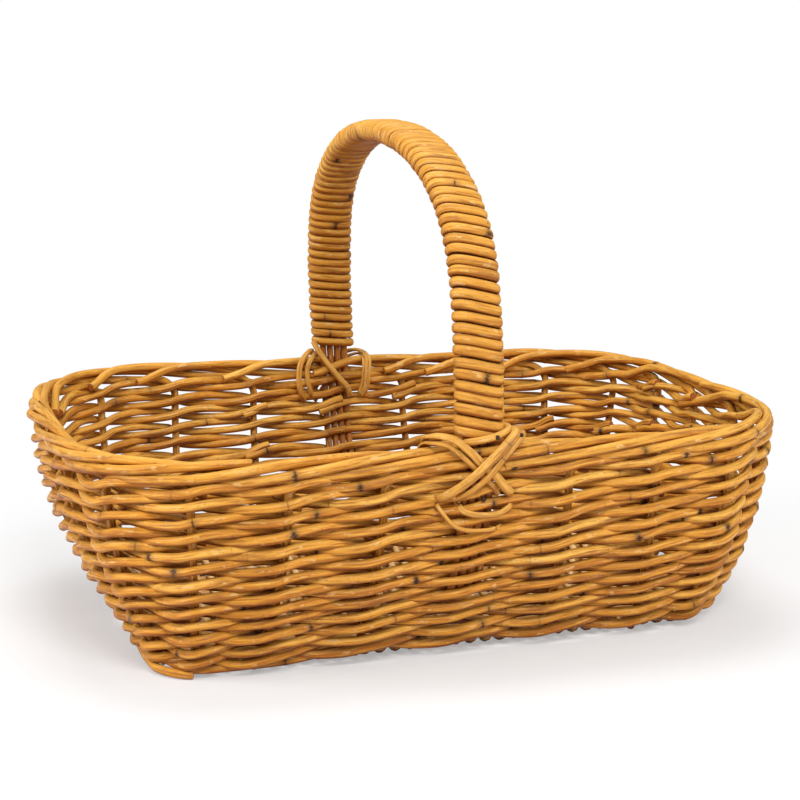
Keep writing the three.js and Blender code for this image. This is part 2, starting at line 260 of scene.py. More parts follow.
WEAVER = CaneFinish("weaver cane", "weaver_cane",
                    (0.83, 0.455, 0.080), (0.67, 0.275, 0.026), (0.37, 0.108, 0.008), stain=0.8)
STAKE = CaneFinish("stake cane", "stake_cane",
                   (0.81, 0.44, 0.078), (0.64, 0.27, 0.026), (0.36, 0.108, 0.008), stain=0.65)
WRAP = CaneFinish("wound cane", "wrap_cane",
                  (0.80, 0.43, 0.080), (0.66, 0.29, 0.034), (0.41, 0.14, 0.014), stain=0.65)
CORE = CaneFinish("core cane", "core_cane",
                  (0.52, 0.20, 0.036), (0.37, 0.12, 0.018), (0.20, 0.055, 0.010), stain=0.7)
LASHING = CaneFinish("lashing cane", "lashing_cane",
                     (0.80, 0.44, 0.095), (0.66, 0.30, 0.042), (0.40, 0.15, 0.018), stain=0.6)
BASE_STICK = CaneFinish("base stick cane", "base_stick",
                        (0.70, 0.40, 0.13), (0.52, 0.24, 0.055), (0.32, 0.12, 0.025))
BASE_CANE = CaneFinish("base weaver cane", "base_cane",
                       (0.90, 0.68, 0.35), (0.76, 0.47, 0.17), (0.44, 0.19, 0.04), stain=0.6)

THREAD_BROWN = (0.30, 0.10, 0.012)
STAIN_BROWN = (0.27, 0.085, 0.015)
SCRAPED_GOLD = (0.88, 0.62, 0.27)
SPECK_BROWN = (0.10, 0.032, 0.008)
HALO_BROWN = (0.19, 0.06, 0.013)
BURNT_BLACK = (0.028, 0.011, 0.004)
NODE_LINE = (0.045, 0.016, 0.005)
# Painted shade, multiplied into faces that point down.
UNDERSIDE_SHADE = (0.42, 0.22, 0.10)
PITH_PALE = (0.60, 0.20, 0.04)
PITH_DARK = (0.24, 0.07, 0.015)
# Dirt and painted shade, multiplied into crevices and into passes behind other canes.
DIRT_AND_SHADE_BROWN = (0.33, 0.20, 0.12)
IRON_BLACK = (0.022, 0.018, 0.016)
IRON_RUST = (0.09, 0.035, 0.015)


class Shading:
    """A material or world under construction: adds shader nodes and joins their sockets."""

    def __init__(self, owner: Material | bpy.types.World) -> None:
        """Starts a new material or world with no nodes."""
        self.owner = owner
        owner.use_nodes = True
        owner.node_tree.nodes.clear()

    def node(self, kind: str, inputs: dict | None = None, **settings: object) -> bpy.types.Node:
        """Adds a node.

        Args:
            kind: The shader node's type.
            inputs: Socket names or numbers with the value or the socket that feeds each.
            settings: The node's own properties.

        Returns:
            The new node.
        """
        made = self.owner.node_tree.nodes.new(kind)
        for key, value in settings.items():
            setattr(made, key, value)
        for key, value in (inputs or {}).items():
            if isinstance(value, Socket):
                self.owner.node_tree.links.new(value, made.inputs[key])
            else:
                made.inputs[key].default_value = value
        return made

    def reading(self, attribute: str, output: str = "Fac") -> Socket:
        """Reads one of the piece's own attributes through an output of the attribute node."""
        return self.node("ShaderNodeAttribute", attribute_name=attribute,
                         attribute_type="GEOMETRY").outputs[output]

    def noise(self, vector: Socket, stretch: Triple, detail: float) -> Socket:
        """Noise over a vector that is stretched first.

        Args:
            vector: The coordinates.
            stretch: What each coordinate is multiplied by.
            detail: The number of octaves.

        Returns:
            The noise, from 0 to 1.
        """
        place = self.node("ShaderNodeVectorMath", {0: vector, 1: stretch}, operation="MULTIPLY")
        made = self.node("ShaderNodeTexNoise", {"Vector": place.outputs[0], "Scale": 1.0,
                                                "Detail": detail, "Roughness": 0.55})
        return made.outputs[0]

    def spread(self, value: Socket, low: float, high: float, to_low: float = 0.0,
               to_high: float = 1.0) -> Socket:
        """Maps a value smoothly from one range to another.

        Args:
            value: The value.
            low: Where the first range starts.
            high: Where it ends.
            to_low: What the value becomes at low.
            to_high: What it becomes at high.

        Returns:
            The mapped value.
        """
        made = self.node("ShaderNodeMapRange",
                         {"Value": value, "From Min": low, "From Max": high,
                          "To Min": to_low, "To Max": to_high},
                         interpolation_type="SMOOTHSTEP")
        return made.outputs["Result"]

    def math(self, operation: str, first: object, second: object) -> Socket:
        """Works out one sum, such as MULTIPLY, of two numbers or sockets."""
        return self.node("ShaderNodeMath", {0: first, 1: second}, operation=operation).outputs[0]

    def shaken(self, value: object, *noise: object) -> Socket:
        """Adds a noise to a value, given with its ranges as spread() takes them."""
        return self.math("ADD", value, self.spread(*noise))

    def coat(self, below: object, above: object, *ranges: tuple,
             blend_type: str = "MIX") -> Socket:
        """Lays one colour over another by the product of some ranges.

        Args:
            below: The lower colour, a socket or three numbers.
            above: The upper colour.
            ranges: For each factor of the upper colour's share, what spread() is given.
            blend_type: How the two are mixed.

        Returns:
            The mixed colour.
        """
        share = self.spread(*ranges[-1])
        for factor in ranges[-2::-1]:
            share = self.math("MULTIPLY", self.spread(*factor), share)
        colours = [value if isinstance(value, Socket) else (*value, 1.0)
                   for value in (below, above)]
        made = self.node("ShaderNodeMix", {0: share, 6: colours[0], 7: colours[1]},
                         data_type="RGBA", blend_type=blend_type)
        return made.outputs[2]

    def surface(self, **inputs: object) -> Material:
        """Closes the material with a principled shader, whose inputs have _ for a space."""
        named = {key.replace("_", " "): value for key, value in inputs.items()}
        shader = self.node("ShaderNodeBsdfPrincipled", named)
        self.node("ShaderNodeOutputMaterial", {"Surface": shader.outputs[0]})
        return self.owner


@cache
def cane_material(finish: CaneFinish) -> Material:
    """Whole cane: streaks along it, slow changes of gold, specks, and dark marks at its nodes.

    Args:
        finish: The colours and the gloss.

    Returns:
        The material.
    """
    look = Shading(bpy.data.materials.new(finish.name))
    grain = look.reading("grain", "Vector")
    tint, node_gap, dark, cut, dirt_and_shade, shade = map(
        look.reading, ("tint", "node_gap", "node_dark", "cut", "dirt_and_shade", "shade"))
    slow = look.noise(grain, (0.35, 0.35, 0.012), 3.0)
    streaks = look.noise(grain, (2.2, 2.2, 0.05), 4.0)
    thread = look.noise(grain, (7.0, 7.0, 0.09), 2.0)
    fine = look.noise(grain, (5.0, 5.0, 0.5), 3.0)
    blotch = look.noise(grain, (0.9, 0.9, 0.11), 2.0)
    rust = look.noise(grain, (0.8, 0.8, 0.028), 4.0)

    age = look.shaken(look.math("MULTIPLY", tint, 0.62), slow, 0.3, 0.7, 0.0, 0.4)
    colour = look.coat(finish.dark, finish.gold, (age, 0.0, 0.5))
    colour = look.coat(colour, finish.pale, (age, 0.42, 1.0))
    colour = look.coat(colour, finish.dark, (streaks, 0.49, 0.66, 0.0, 0.75))
    colour = look.coat(colour, finish.pale, (streaks, 0.32, 0.48, 0.7, 0.0))
    colour = look.coat(colour, THREAD_BROWN, (thread, 0.55, 0.68, 0.0, 0.5))
    colour = look.coat(colour, STAIN_BROWN, (rust, 0.54, 0.70, 0.0, finish.stain))
    colour = look.coat(colour, SCRAPED_GOLD, (blotch, 0.60, 0.68, 0.0, 0.45),
                       (streaks, 0.38, 0.55))
    colour = look.coat(colour, SPECK_BROWN, (fine, 0.61, 0.70), (blotch, 0.45, 0.60, 0.0, 0.8))

    gap = look.math("ABSOLUTE", node_gap, 0.0)
    ragged = look.shaken(gap, streaks, 0.2, 0.8, -1.5, 2.2)
    colour = look.coat(colour, HALO_BROWN, (ragged, 0.5, 7.0, 0.6, 0.0), (dark, 0.1, 0.65),
                       (blotch, 0.25, 0.6, 0.3, 1.0))
    colour = look.coat(colour, BURNT_BLACK, (ragged, 0.8, 2.9, 1.0, 0.0), (dark, 0.45, 0.8),
                       (blotch, 0.3, 0.55, 0.5, 1.0))
    colour = look.coat(colour, NODE_LINE, (gap, 0.2, 0.9, 1.0, 0.0),
                       (dark, 0.15, 0.6, 0.12, 0.95), (blotch, 0.3, 0.55, 0.4, 1.0))

    # Painted light and shade by facing: upward faces are painted paler as a highlight and downward
    # faces darker as painted shade.
    facing_light = look.shaken(shade, slow, 0.3, 0.7, -0.25, 0.25)
    colour = look.coat(colour, finish.pale, (facing_light, -1.0, -0.35, 0.38, 0.0))
    colour = look.coat(colour, UNDERSIDE_SHADE, (facing_light, -0.05, 0.85, 0.0, 0.9),
                       blend_type="MULTIPLY")
    pith = look.coat(PITH_PALE, PITH_DARK, (fine, 0.40, 0.62))
    colour = look.coat(colour, pith, (cut, 0.55, 0.95))
    # Dirt and painted shade, multiplied in: darker in crevices, behind other canes, on downward
    # faces and low in the walls.
    soiled_and_shaded = look.shaken(dirt_and_shade, streaks, 0.3, 0.7, -0.12, 0.12)
    colour = look.coat(colour, DIRT_AND_SHADE_BROWN, (soiled_and_shaded, 0.1, 1.0, 0.0, 0.95),
                       blend_type="MULTIPLY")

    relief = look.math("ADD", look.math("MULTIPLY", streaks, 0.7),
                       look.math("MULTIPLY", fine, 0.3))
    bump = look.node("ShaderNodeBump", {"Strength": 0.6, "Distance": 0.0004, "Height": relief})
    dull = look.shaken(finish.roughness, streaks, 0.35, 0.75, -0.05, 0.14)
    return look.surface(Base_Color=colour, Roughness=dull, Normal=bump.outputs[0], IOR=1.5,
                        Specular_IOR_Level=0.24)


def nail_material() -> Material:
    """Dark, slightly rusted iron for the nail heads.

    Returns:
        The material.
    """
    look = Shading(bpy.data.materials.new("nail iron"))
    place = look.node("ShaderNodeTexCoord").outputs["Object"]
    rust = look.noise(place, (900.0, 900.0, 900.0), 3.0)
    return look.surface(Base_Color=look.coat(IRON_BLACK, IRON_RUST, (rust, 0.4, 0.65)),
                        Roughness=look.spread(rust, 0.3, 0.7, 0.4, 0.7), Metallic=0.6)


@dataclass(frozen=True)
class CaneCut:
    """How one length of cane is drawn: its sides, its nodes and how its ends are cut.

    The chamfer is a share of half the breadth, and end_inset is the size of the outermost ring
    beside the section's own.
    """

    sides: int = 12
    ring_step: float = 2.8
    node_spacing: tuple[float, float] = (62.0, 150.0)
    node_swell: float = 0.07
    squareness: float = 2.0
    # Dirt and painted shade along the two long edges, where a cane touches its neighbours.
    seam: float = 0.0
    tint_range: tuple[float, float] = (0.05, 1.0)
    splinters: float = 0.0
    chamfer: float = 0.12
    end_inset: float = 0.84


# Where rings stand close round a node, and where its ridge and its groove lie beside it, each
# with its width. The groove is a share of the ridge, and lumps are a cane's uneven thickness.
NODE_RINGS = np.array([-3.4, -1.6, -0.8, -0.2, 0.5, 1.3, 2.6])
NODE_RIDGE = (1.0, 1.7)
NODE_GROOVE = (-0.5, 0.5)
GROOVE_SHARE = 0.4
LUMPS_APART = 45.0
LUMPS: Wander = (1.0, 0.035)
# The least lengths from a close ring to the cane's end and from ring to ring.
RING_FROM_END = 0.6
RING_APART = 0.25
# Where the first node lies in its step, how dark nodes are (the two powers of a beta
# distribution), and the darkness of the one node of a cane that is too short to have any.
FIRST_NODE = (0.1, 0.9)
NODE_DARKNESS = (0.5, 0.95)
LONE_DARKNESS = 0.05
# How far the grain of two canes may lie apart, and the dirt and painted shade: its share at a
# point that faces sideways, the painted shade that facing down adds, how close it keeps to a
# seam, and its share at tips.
GRAIN_SPAN = 4000.0
SIDE_SOIL_AND_SHADE = 0.85
DOWN_SHADE = 0.35
SEAM_POWER = 5
TIP_SOIL_AND_SHADE = 0.75
# A torn fibre: its length, its lean out of the cane, its radius with how much of that it loses
# towards the tip, how it curls, how flat it is, and how deep in the cane it starts.
SPLINTER = CaneCut(sides=4, ring_step=1.4, node_swell=0.0, tint_range=(0.0, 0.6))
SPLINTER_LENGTH = (3.0, 8.0)
SPLINTER_LEAN = (0.25, 0.7)
SPLINTER_RADIUS = 0.34
SPLINTER_TAPER = 0.8
SPLINTER_CURL = 1.6
SPLINTER_FLATNESS = 0.6
SPLINTER_ROOT = 0.9


@dataclass
class CaneBundle:
    """Gathers closed lengths of cane and makes one mesh object of them."""

    rng: np.random.Generator
    points: list[Array] = field(default_factory=list)
    quads: list[Array] = field(default_factory=list)
    fans: list[Array] = field(default_factory=list)
    marks: list[dict[str, Array]] = field(default_factory=list)
    used: int = 0

    def add(self, path: Array, up: Array, breadth: float | Array, height: float | Array,
            cut: CaneCut, dirt_and_shade: float | Array = 0.0) -> None:
        """Carries a rounded section along a path and closes both ends with a cut face.

        A point of the surface is p(s) + b(s) S(s) cos a + h(s) R(s) sin a, where S is across
        the path, R is its own upward side, and b and h swell past each node and pinch at it.
        For a squareness q the cosine and the sine are raised to 2 / q, with their signs kept.
        The ends close with a small chamfer ring and a fan.

        Args:
            path: The middle of the cane.
            up: The direction that the section's height follows, one for all or one a point.
            breadth: Half the section's breadth, one value or one a point.
            height: Half its height, one value or one a point.
            cut: How the cane is drawn.
            dirt_and_shade: How much dirt and painted shade darken the cane, from 0 to 1, one value
                or one a point.
        """
        total = lengths_along(path)[-1]
        nodes, strengths = self._nodes(total, cut)
        at = self._rings(total, nodes, cut)
        middle = at_lengths(path, path, at)
        upward = at_lengths(path, np.broadcast_to(np.asarray(up, float), path.shape), at)
        gaps = at[:, None] - nodes[None, :]
        nearest = np.abs(gaps).argmin(axis=1)
        gap = gaps[np.arange(len(at)), nearest]
        swell = (1.0 + cut.node_swell * bell(gap, *NODE_RIDGE)
                 - GROOVE_SHARE * cut.node_swell * bell(gap, *NODE_GROOVE))
        swell = swell * (1.0 + drift(self.rng, at / LUMPS_APART, *LUMPS))
        wide = self._each(breadth, path, at) * swell
        tall = self._each(height, path, at) * swell

        ahead = unit(np.gradient(middle, at, axis=0))
        across = unit(np.cross(ahead, upward))
        rise = np.cross(across, ahead)
        angle = np.linspace(0.0, 2.0 * np.pi, cut.sides, endpoint=False)
        cosine = bent(np.cos(angle), 2.0 / cut.squareness)
        sine = bent(np.sin(angle), 2.0 / cut.squareness)
        rings = (middle[:, None, :] + across[:, None, :] * (wide[:, None] * cosine)[..., None]
                 + rise[:, None, :] * (tall[:, None] * sine)[..., None])
        chamfer = cut.chamfer * float(np.mean(wide))
        first = middle[0] + cut.end_inset * (rings[0] - middle[0]) - ahead[0] * chamfer
        last = middle[-1] + cut.end_inset * (rings[-1] - middle[-1]) + ahead[-1] * chamfer
        rings = np.concatenate([first[None], rings, last[None]])
        tips = np.stack([middle[0] - ahead[0] * chamfer, middle[-1] + ahead[-1] * chamfer])

        quads, fans = tube_faces(len(rings), cut.sides)
        self.points.append(np.concatenate([rings.reshape(-1, 3), tips]))
        self.quads.append(quads + self.used)
        self.fans.append(fans + self.used)
        self.used += len(self.points[-1])
        # How far each point faces down, which sets the painted highlight on top and the painted
        # shade beneath.
        shade = -(across[:, 2:] * cosine + rise[:, 2:] * sine)
        self._mark(at, gap, strengths[nearest], self._each(dirt_and_shade, path, at), shade,
                   np.stack([cosine, sine], axis=1), cut)

        for node in nodes[self.rng.random(len(nodes)) < cut.splinters]:
            near = int(np.abs(at - node).argmin())
            turn = self.rng.uniform(0.0, 2.0 * np.pi)
            radial = across[near] * math.cos(turn) + rise[near] * math.sin(turn)
            self._splinter(middle[near] + radial * SPLINTER_ROOT * wide[near], ahead[near],
                           radial)

    def _splinter(self, foot: Array, ahead: Array, away: Array) -> None:
        """Adds a torn fibre, f + L (t cos a A + t^c sin a O) for a curl c, thinning to its tip.

        A is the cane's own direction and O the direction out of it.

        Args:
            foot: Where it leaves the cane.
            ahead: The cane's own direction there.
            away: The direction out of the cane.
        """
        length = self.rng.uniform(*SPLINTER_LENGTH)
        share = np.linspace(0.0, 1.0, 6)[:, None]
        lean = self.rng.uniform(*SPLINTER_LEAN)
        path = foot + length * (ahead * share * math.cos(lean)
                                + away * share**SPLINTER_CURL * math.sin(lean))
        thick = SPLINTER_RADIUS * (1.0 - SPLINTER_TAPER * share[:, 0])
        self.add(path, away, thick, SPLINTER_FLATNESS * thick, SPLINTER)

    @staticmethod
    def _rings(total: float, nodes: Array, cut: CaneCut) -> Array:
        """The running lengths of the rings: even steps, and closer ones round each node.

        Args:
            total: The cane's length.
            nodes: The nodes' places along it.
            cut: How the cane is drawn.

        Returns:
            The running lengths, rising.
        """
        even = np.linspace(0.0, total, max(3, int(round(total / cut.ring_step)) + 1))
        close = (nodes[:, None] + NODE_RINGS).ravel() if cut.node_swell > 0.0 else nodes[:0]
        close = close[(close > RING_FROM_END) & (close < total - RING_FROM_END)]
        at = np.sort(np.concatenate([even, close]))
        return at[np.concatenate([np.diff(at) > RING_APART, [True]])]

    def _nodes(self, total: float, cut: CaneCut) -> tuple[Array, Array]:
        """Sets the nodes of a cane at uneven steps and says how dark each one is.

        Args:
            total: The cane's length.
            cut: How the cane is drawn.

        Returns:
            The nodes' places along the cane, and their darkness from 0 to 1.
        """
        low, high = cut.node_spacing
        steps = self.rng.uniform(low, high, int(total / low) + 2)
        places = np.cumsum(steps) - self.rng.uniform(*FIRST_NODE) * steps[0]
        places = places[places < total - 2.0 * cut.ring_step]
        if len(places) == 0:
            return np.array([total / 2]), np.array([LONE_DARKNESS])
        return places, self.rng.beta(*NODE_DARKNESS, len(places))

    @staticmethod
    def _each(value: float | Array, path: Array, at: Array) -> Array:
        """One value for each ring, from one for all or from one for each point of the path."""
        spread = np.broadcast_to(np.asarray(value, float), (len(path),))
        return np.interp(at, lengths_along(path), spread)

    def _mark(self, at: Array, gap: Array, darkness: Array, soil_and_shade: Array, shade: Array,
              around: Array, cut: CaneCut) -> None:
        """Stores what the material reads at each point of the cane just added.

        Args:
            at: The running lengths of the rings.
            gap: How far each ring is from the nearest node.
            darkness: How dark that node is.
            soil_and_shade: How much dirt and painted shade each ring has.
            shade: How far each point of each ring faces down, from -1 to 1.
            around: The section's shape, across and upwards.
            cut: How the cane is drawn.
        """
        along = capped(at) + self.rng.uniform(0.0, GRAIN_SPAN)
        grain = np.empty((len(along), cut.sides, 3))
        grain[:, :, :2] = around[None]
        grain[:, :, 2] = along[:, None]
        tips = np.array([[0.0, 0.0, along[0]], [0.0, 0.0, along[-1]]])
        ends = np.zeros(len(along))
        ends[[0, -1]] = 1.0
        shade = capped(shade)
        # Dirt and painted shade: more where a point faces down, and painted shade along the two
        # long edges.
        under = np.clip(SIDE_SOIL_AND_SHADE + DOWN_SHADE * shade, 0.0, 1.0)
        seamed = np.maximum(capped(soil_and_shade)[:, None] * under,
                            cut.seam * np.abs(around[:, 1]) ** SEAM_POWER)

        def each_point(values: Array) -> Array:
            """Repeats one value a ring over its points, with the two tips at the end."""
            return np.concatenate([np.repeat(values, cut.sides), values[[0, -1]]])

        tint = self.rng.uniform(*cut.tint_range)
        self.marks.append({
            "grain": np.concatenate([grain.reshape(-1, 3), tips]),
            "node_gap": each_point(capped(gap)),
            "node_dark": each_point(capped(darkness)),
            "tint": each_point(np.full(len(along), tint)),
            "cut": each_point(ends),
            "dirt_and_shade": np.concatenate([seamed.ravel(), soil_and_shade[[0, -1]] * TIP_SOIL_AND_SHADE]),
            "shade": np.concatenate([shade.ravel(), [0.0, 0.0]]),
        })

    def build(self, name: str, finish: CaneFinish, replaced: str) -> None:
        """Makes the object and hides the node of the model that it stands for.

        Args:
            name: The object's name.
            finish: Its finish, from which its material is made.
            replaced: The node that the piece replaces.
        """
        piece = mesh_object(name, np.concatenate(self.points) * MM, np.concatenate(self.quads),
                            np.concatenate(self.fans))
        for key in self.marks[0]:
            values = np.concatenate([mark[key] for mark in self.marks])
            kind, part = ("FLOAT_VECTOR", "vector") if values.ndim == 2 else ("FLOAT", "value")
            stored = piece.data.attributes.new(key, kind, "POINT")
            stored.data.foreach_set(part, values.astype(np.float32).ravel())
        piece.data.materials.append(cane_material(finish))
        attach(piece, "root")
        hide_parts(replaced)
        log.info("%s: %d triangles", name,
                 2 * sum(map(len, self.quads)) + sum(map(len, self.fans)))


@dataclass(frozen=True)
class WallShape:
    """The middle surface of the leaning walls, by stake place and by run up from the foot.

    Its profile is an arc whose lean goes from 36 degrees at the foot to 3 at the rim, and its
    outline is a rounded oblong whose half sizes and corners grow with the same arc. A hump has
    its place, how many places it reaches and its size. A belly has those, and then its height
    and its reach up the wall, as shares of the run.
    """

    rim_half_length: float = 232.0
    rim_half_width: float = 166.5
    rim_corner: float = 93.0
    foot_half_length: float = 188.0
    foot_half_width: float = 110.5
    foot_corner: float = 36.0
    wall_height: float = 138.5
    foot_height: float = 1.8
    foot_lean: float = math.radians(36.0)
    rim_lean: float = math.radians(3.0)
    places: int = 24
    flatness: float = 0.55
    rim_flatness: float = 0.2
    humps: Knots = ((15.0, 3.2, 3.0), (9.2, 3.0, -2.2))
    bellies: tuple[tuple[float, ...], ...] = (
        (5.6, 3.8, 6.0, 0.25, 0.5), (17.9, 3.0, 6.0, 1.0, 0.8), (16.2, 1.2, -5.5, 1.0, 0.4),
        (18.8, 3.0, -4.0, 0.1, 0.6))

    @property
    def arc_radius(self) -> float:
        """The radius of the profile's arc: height / (sin foot lean - sin rim lean)."""
        return self.wall_height / (math.sin(self.foot_lean) - math.sin(self.rim_lean))

    @property
    def full_run(self) -> float:
        """The length up the wall from the foot to the middle of the border."""
        return self.arc_radius * (self.foot_lean - self.rim_lean)

    @property
    def quarter_run(self) -> float:
        """A quarter of the outline's length at the rim."""
        return (self.rim_half_length + self.rim_half_width - 2.0 * self.rim_corner
                + self.rim_corner * math.pi / 2.0)

    @property
    def spacing(self) -> float:
        """The distance from stake to stake at the rim."""
        return 4.0 * self.quarter_run / self.places

    def lean(self, run: Array) -> Array:
        """How far the wall leans out at a run, in radians."""
        return self.foot_lean - run / self.arc_radius

    def level(self, run: Array) -> tuple[Array, Array, Array, Array]:
        """The outline at a run up the wall.

        Args:
            run: Runs.

        Returns:
            The height, the half length, the half width and the corner's radius.
        """
        lean = self.lean(run)
        share = ((np.cos(lean) - math.cos(self.foot_lean))
                 / (math.cos(self.rim_lean) - math.cos(self.foot_lean)))
        height = self.foot_height + self.arc_radius * (math.sin(self.foot_lean) - np.sin(lean))
        return (height, between(self.foot_half_length, self.rim_half_length, share),
                between(self.foot_half_width, self.rim_half_width, share),
                between(self.foot_corner, self.rim_corner, share))

    def bump(self, place: Array, middle: float, reach: float) -> Array:
        """A soft bump, from 0 to 1, round a place and as far as it reaches."""
        half = self.places / 2.0
        return soft_bump(np.abs(np.mod(place - middle + half, self.places) - half) / reach)

    def point(self, place: Array, run: Array) -> Array:
        """A point of the middle surface, where canes pull it flat between two stakes.

        With w the whole places and t the share between them, it is the outline's point p plus
        f ((1 - t) p(w) + t p(w + 1) - p), where the flatness f falls towards the rim. It rises
        by each hump times the square of the share of the run. Each belly pushes an end out by
        its size times a soft bump round the basket and another up the wall.

        Args:
            place: Stake places.
            run: Runs.

        Returns:
            Points, one row each.
        """
        place, run = np.broadcast_arrays(np.asarray(place, float), np.asarray(run, float))
        smooth = self.outline(place, run)
        whole = np.floor(place)
        share = (place - whole)[..., None]
        chord = (1.0 - share) * self.outline(whole, run) + share * self.outline(whole + 1.0, run)
        up = np.clip(run / self.full_run, 0.0, 1.0)
        flat = between(self.flatness, self.rim_flatness, up)[..., None]
        rise = np.zeros_like(up)
        for middle, reach, size in self.humps:
            rise = rise + size * self.bump(place, middle, reach) * up**2
        push = np.zeros_like(up)
        for middle, reach, size, height, spread in self.bellies:
            push = push + (size * self.bump(place, middle, reach)
                           * soft_bump(np.abs(up - height) / spread))
        push = push * np.sign(smooth[..., 0])
        return (between(smooth, chord, flat) + Z_AXIS * rise[..., None]
                + X_AXIS * push[..., None])

    def outline(self, place: Array, run: Array) -> Array:
        """A point of the rounded oblong at a run up the wall.

        A quarter of the outline is straight, then a quarter circle, then straight again, and
        the other quarters are its mirror images.

        Args:
            place: Stake places.
            run: Runs.

        Returns:
            Points, one row each.
        """
        height, half_length, half_width, corner = self.level(run)
        long_half = self.rim_half_length - self.rim_corner
        short_half = self.rim_half_width - self.rim_corner
        corner_run = self.rim_corner * math.pi / 2.0
        distance = np.mod(place / self.places, 1.0) * 4.0 * self.quarter_run
        quarter = np.clip(np.floor(distance / self.quarter_run), 0, 3)
        into = distance - quarter * self.quarter_run
        into = np.where(quarter % 2 == 0, into, self.quarter_run - into)
        angle = np.clip((into - long_half) / self.rim_corner, 0.0, math.pi / 2.0)
        straight = np.clip(into / long_half, 0.0, 1.0)
        left = np.clip((self.quarter_run - into) / short_half, 0.0, 1.0)
        along_long = (half_length - corner) * straight + corner * np.sin(angle)
        along_short = (half_width - corner) * left + corner * np.cos(angle)
        past_corner = into >= long_half + corner_run
        x = np.where(past_corner, half_length, along_long)
        y = np.where(past_corner, (half_width - corner) * left, along_short)
        x = x * np.where(quarter < 2, 1.0, -1.0)
        y = y * np.where((quarter == 1) | (quarter == 2), 1.0, -1.0)
        return np.stack([x, y, height], axis=-1)

    def directions(self, place: Array, run: Array) -> tuple[Array, Array, Array]:
        """The wall's own directions: along it, up it and out of it, from small differences.

        Args:
            place: Stake places.
            run: Runs.

        Returns:
            The three unit directions, one row each.
        """
        step = 0.05
        along = unit(self.point(place + step, run) - self.point(place - step, run))
        up = unit(self.point(place, run + step) - self.point(place, run - step))
        return along, up, unit(np.cross(along, up))

    def offset(self, place: Array, run: Array, out_by: float | Array = 0.0,
               up_by: float | Array = 0.0) -> tuple[Array, Array, Array]:
        """Points off the middle surface, p + out n + up u, with the wall's directions there.

        Args:
            place: Stake places.
            run: Runs.
            out_by: How far out of the wall.
            up_by: How far up it.

        Returns:
            The points, and the directions u up the wall and n out of it, one row each.
        """
        _, up, out = self.directions(place, run)
        points = (self.point(place, run) + out * np.asarray(out_by)[..., None]
                  + up * np.asarray(up_by)[..., None])
        return points, up, out

    def rim(self, place: Array) -> Array:
        """The run of the middle of the border, once for each place."""
        return np.full_like(place, self.full_run)


WALL = WallShape()
FOOT = WallShape(foot_half_length=194.0, foot_half_width=116.5, foot_corner=34.0,
                 foot_height=3.2, humps=(), bellies=())
# Canes under the first round: stake places, each with how far the cane is up and out there.
FOOT_STRANDS = (
    ((18.2, 7.0, -5.0), (18.9, 3.0, -2.0), (19.6, 1.4, -1.0), (20.4, 0.3, 0.5),
     (21.15, 0.2, 1.4)),
    ((20.0, 6.5, -5.0), (20.6, 4.0, -2.0), (21.3, 2.0, 0.0), (22.4, 2.6, 0.0),
     (23.7, 9.0, -6.0)),
    ((18.0, 12.0, -4.0), (18.8, 7.5, -1.0), (19.8, 5.6, -1.5), (20.7, 6.5, -2.0),
     (21.6, 9.5, -5.0)),
)


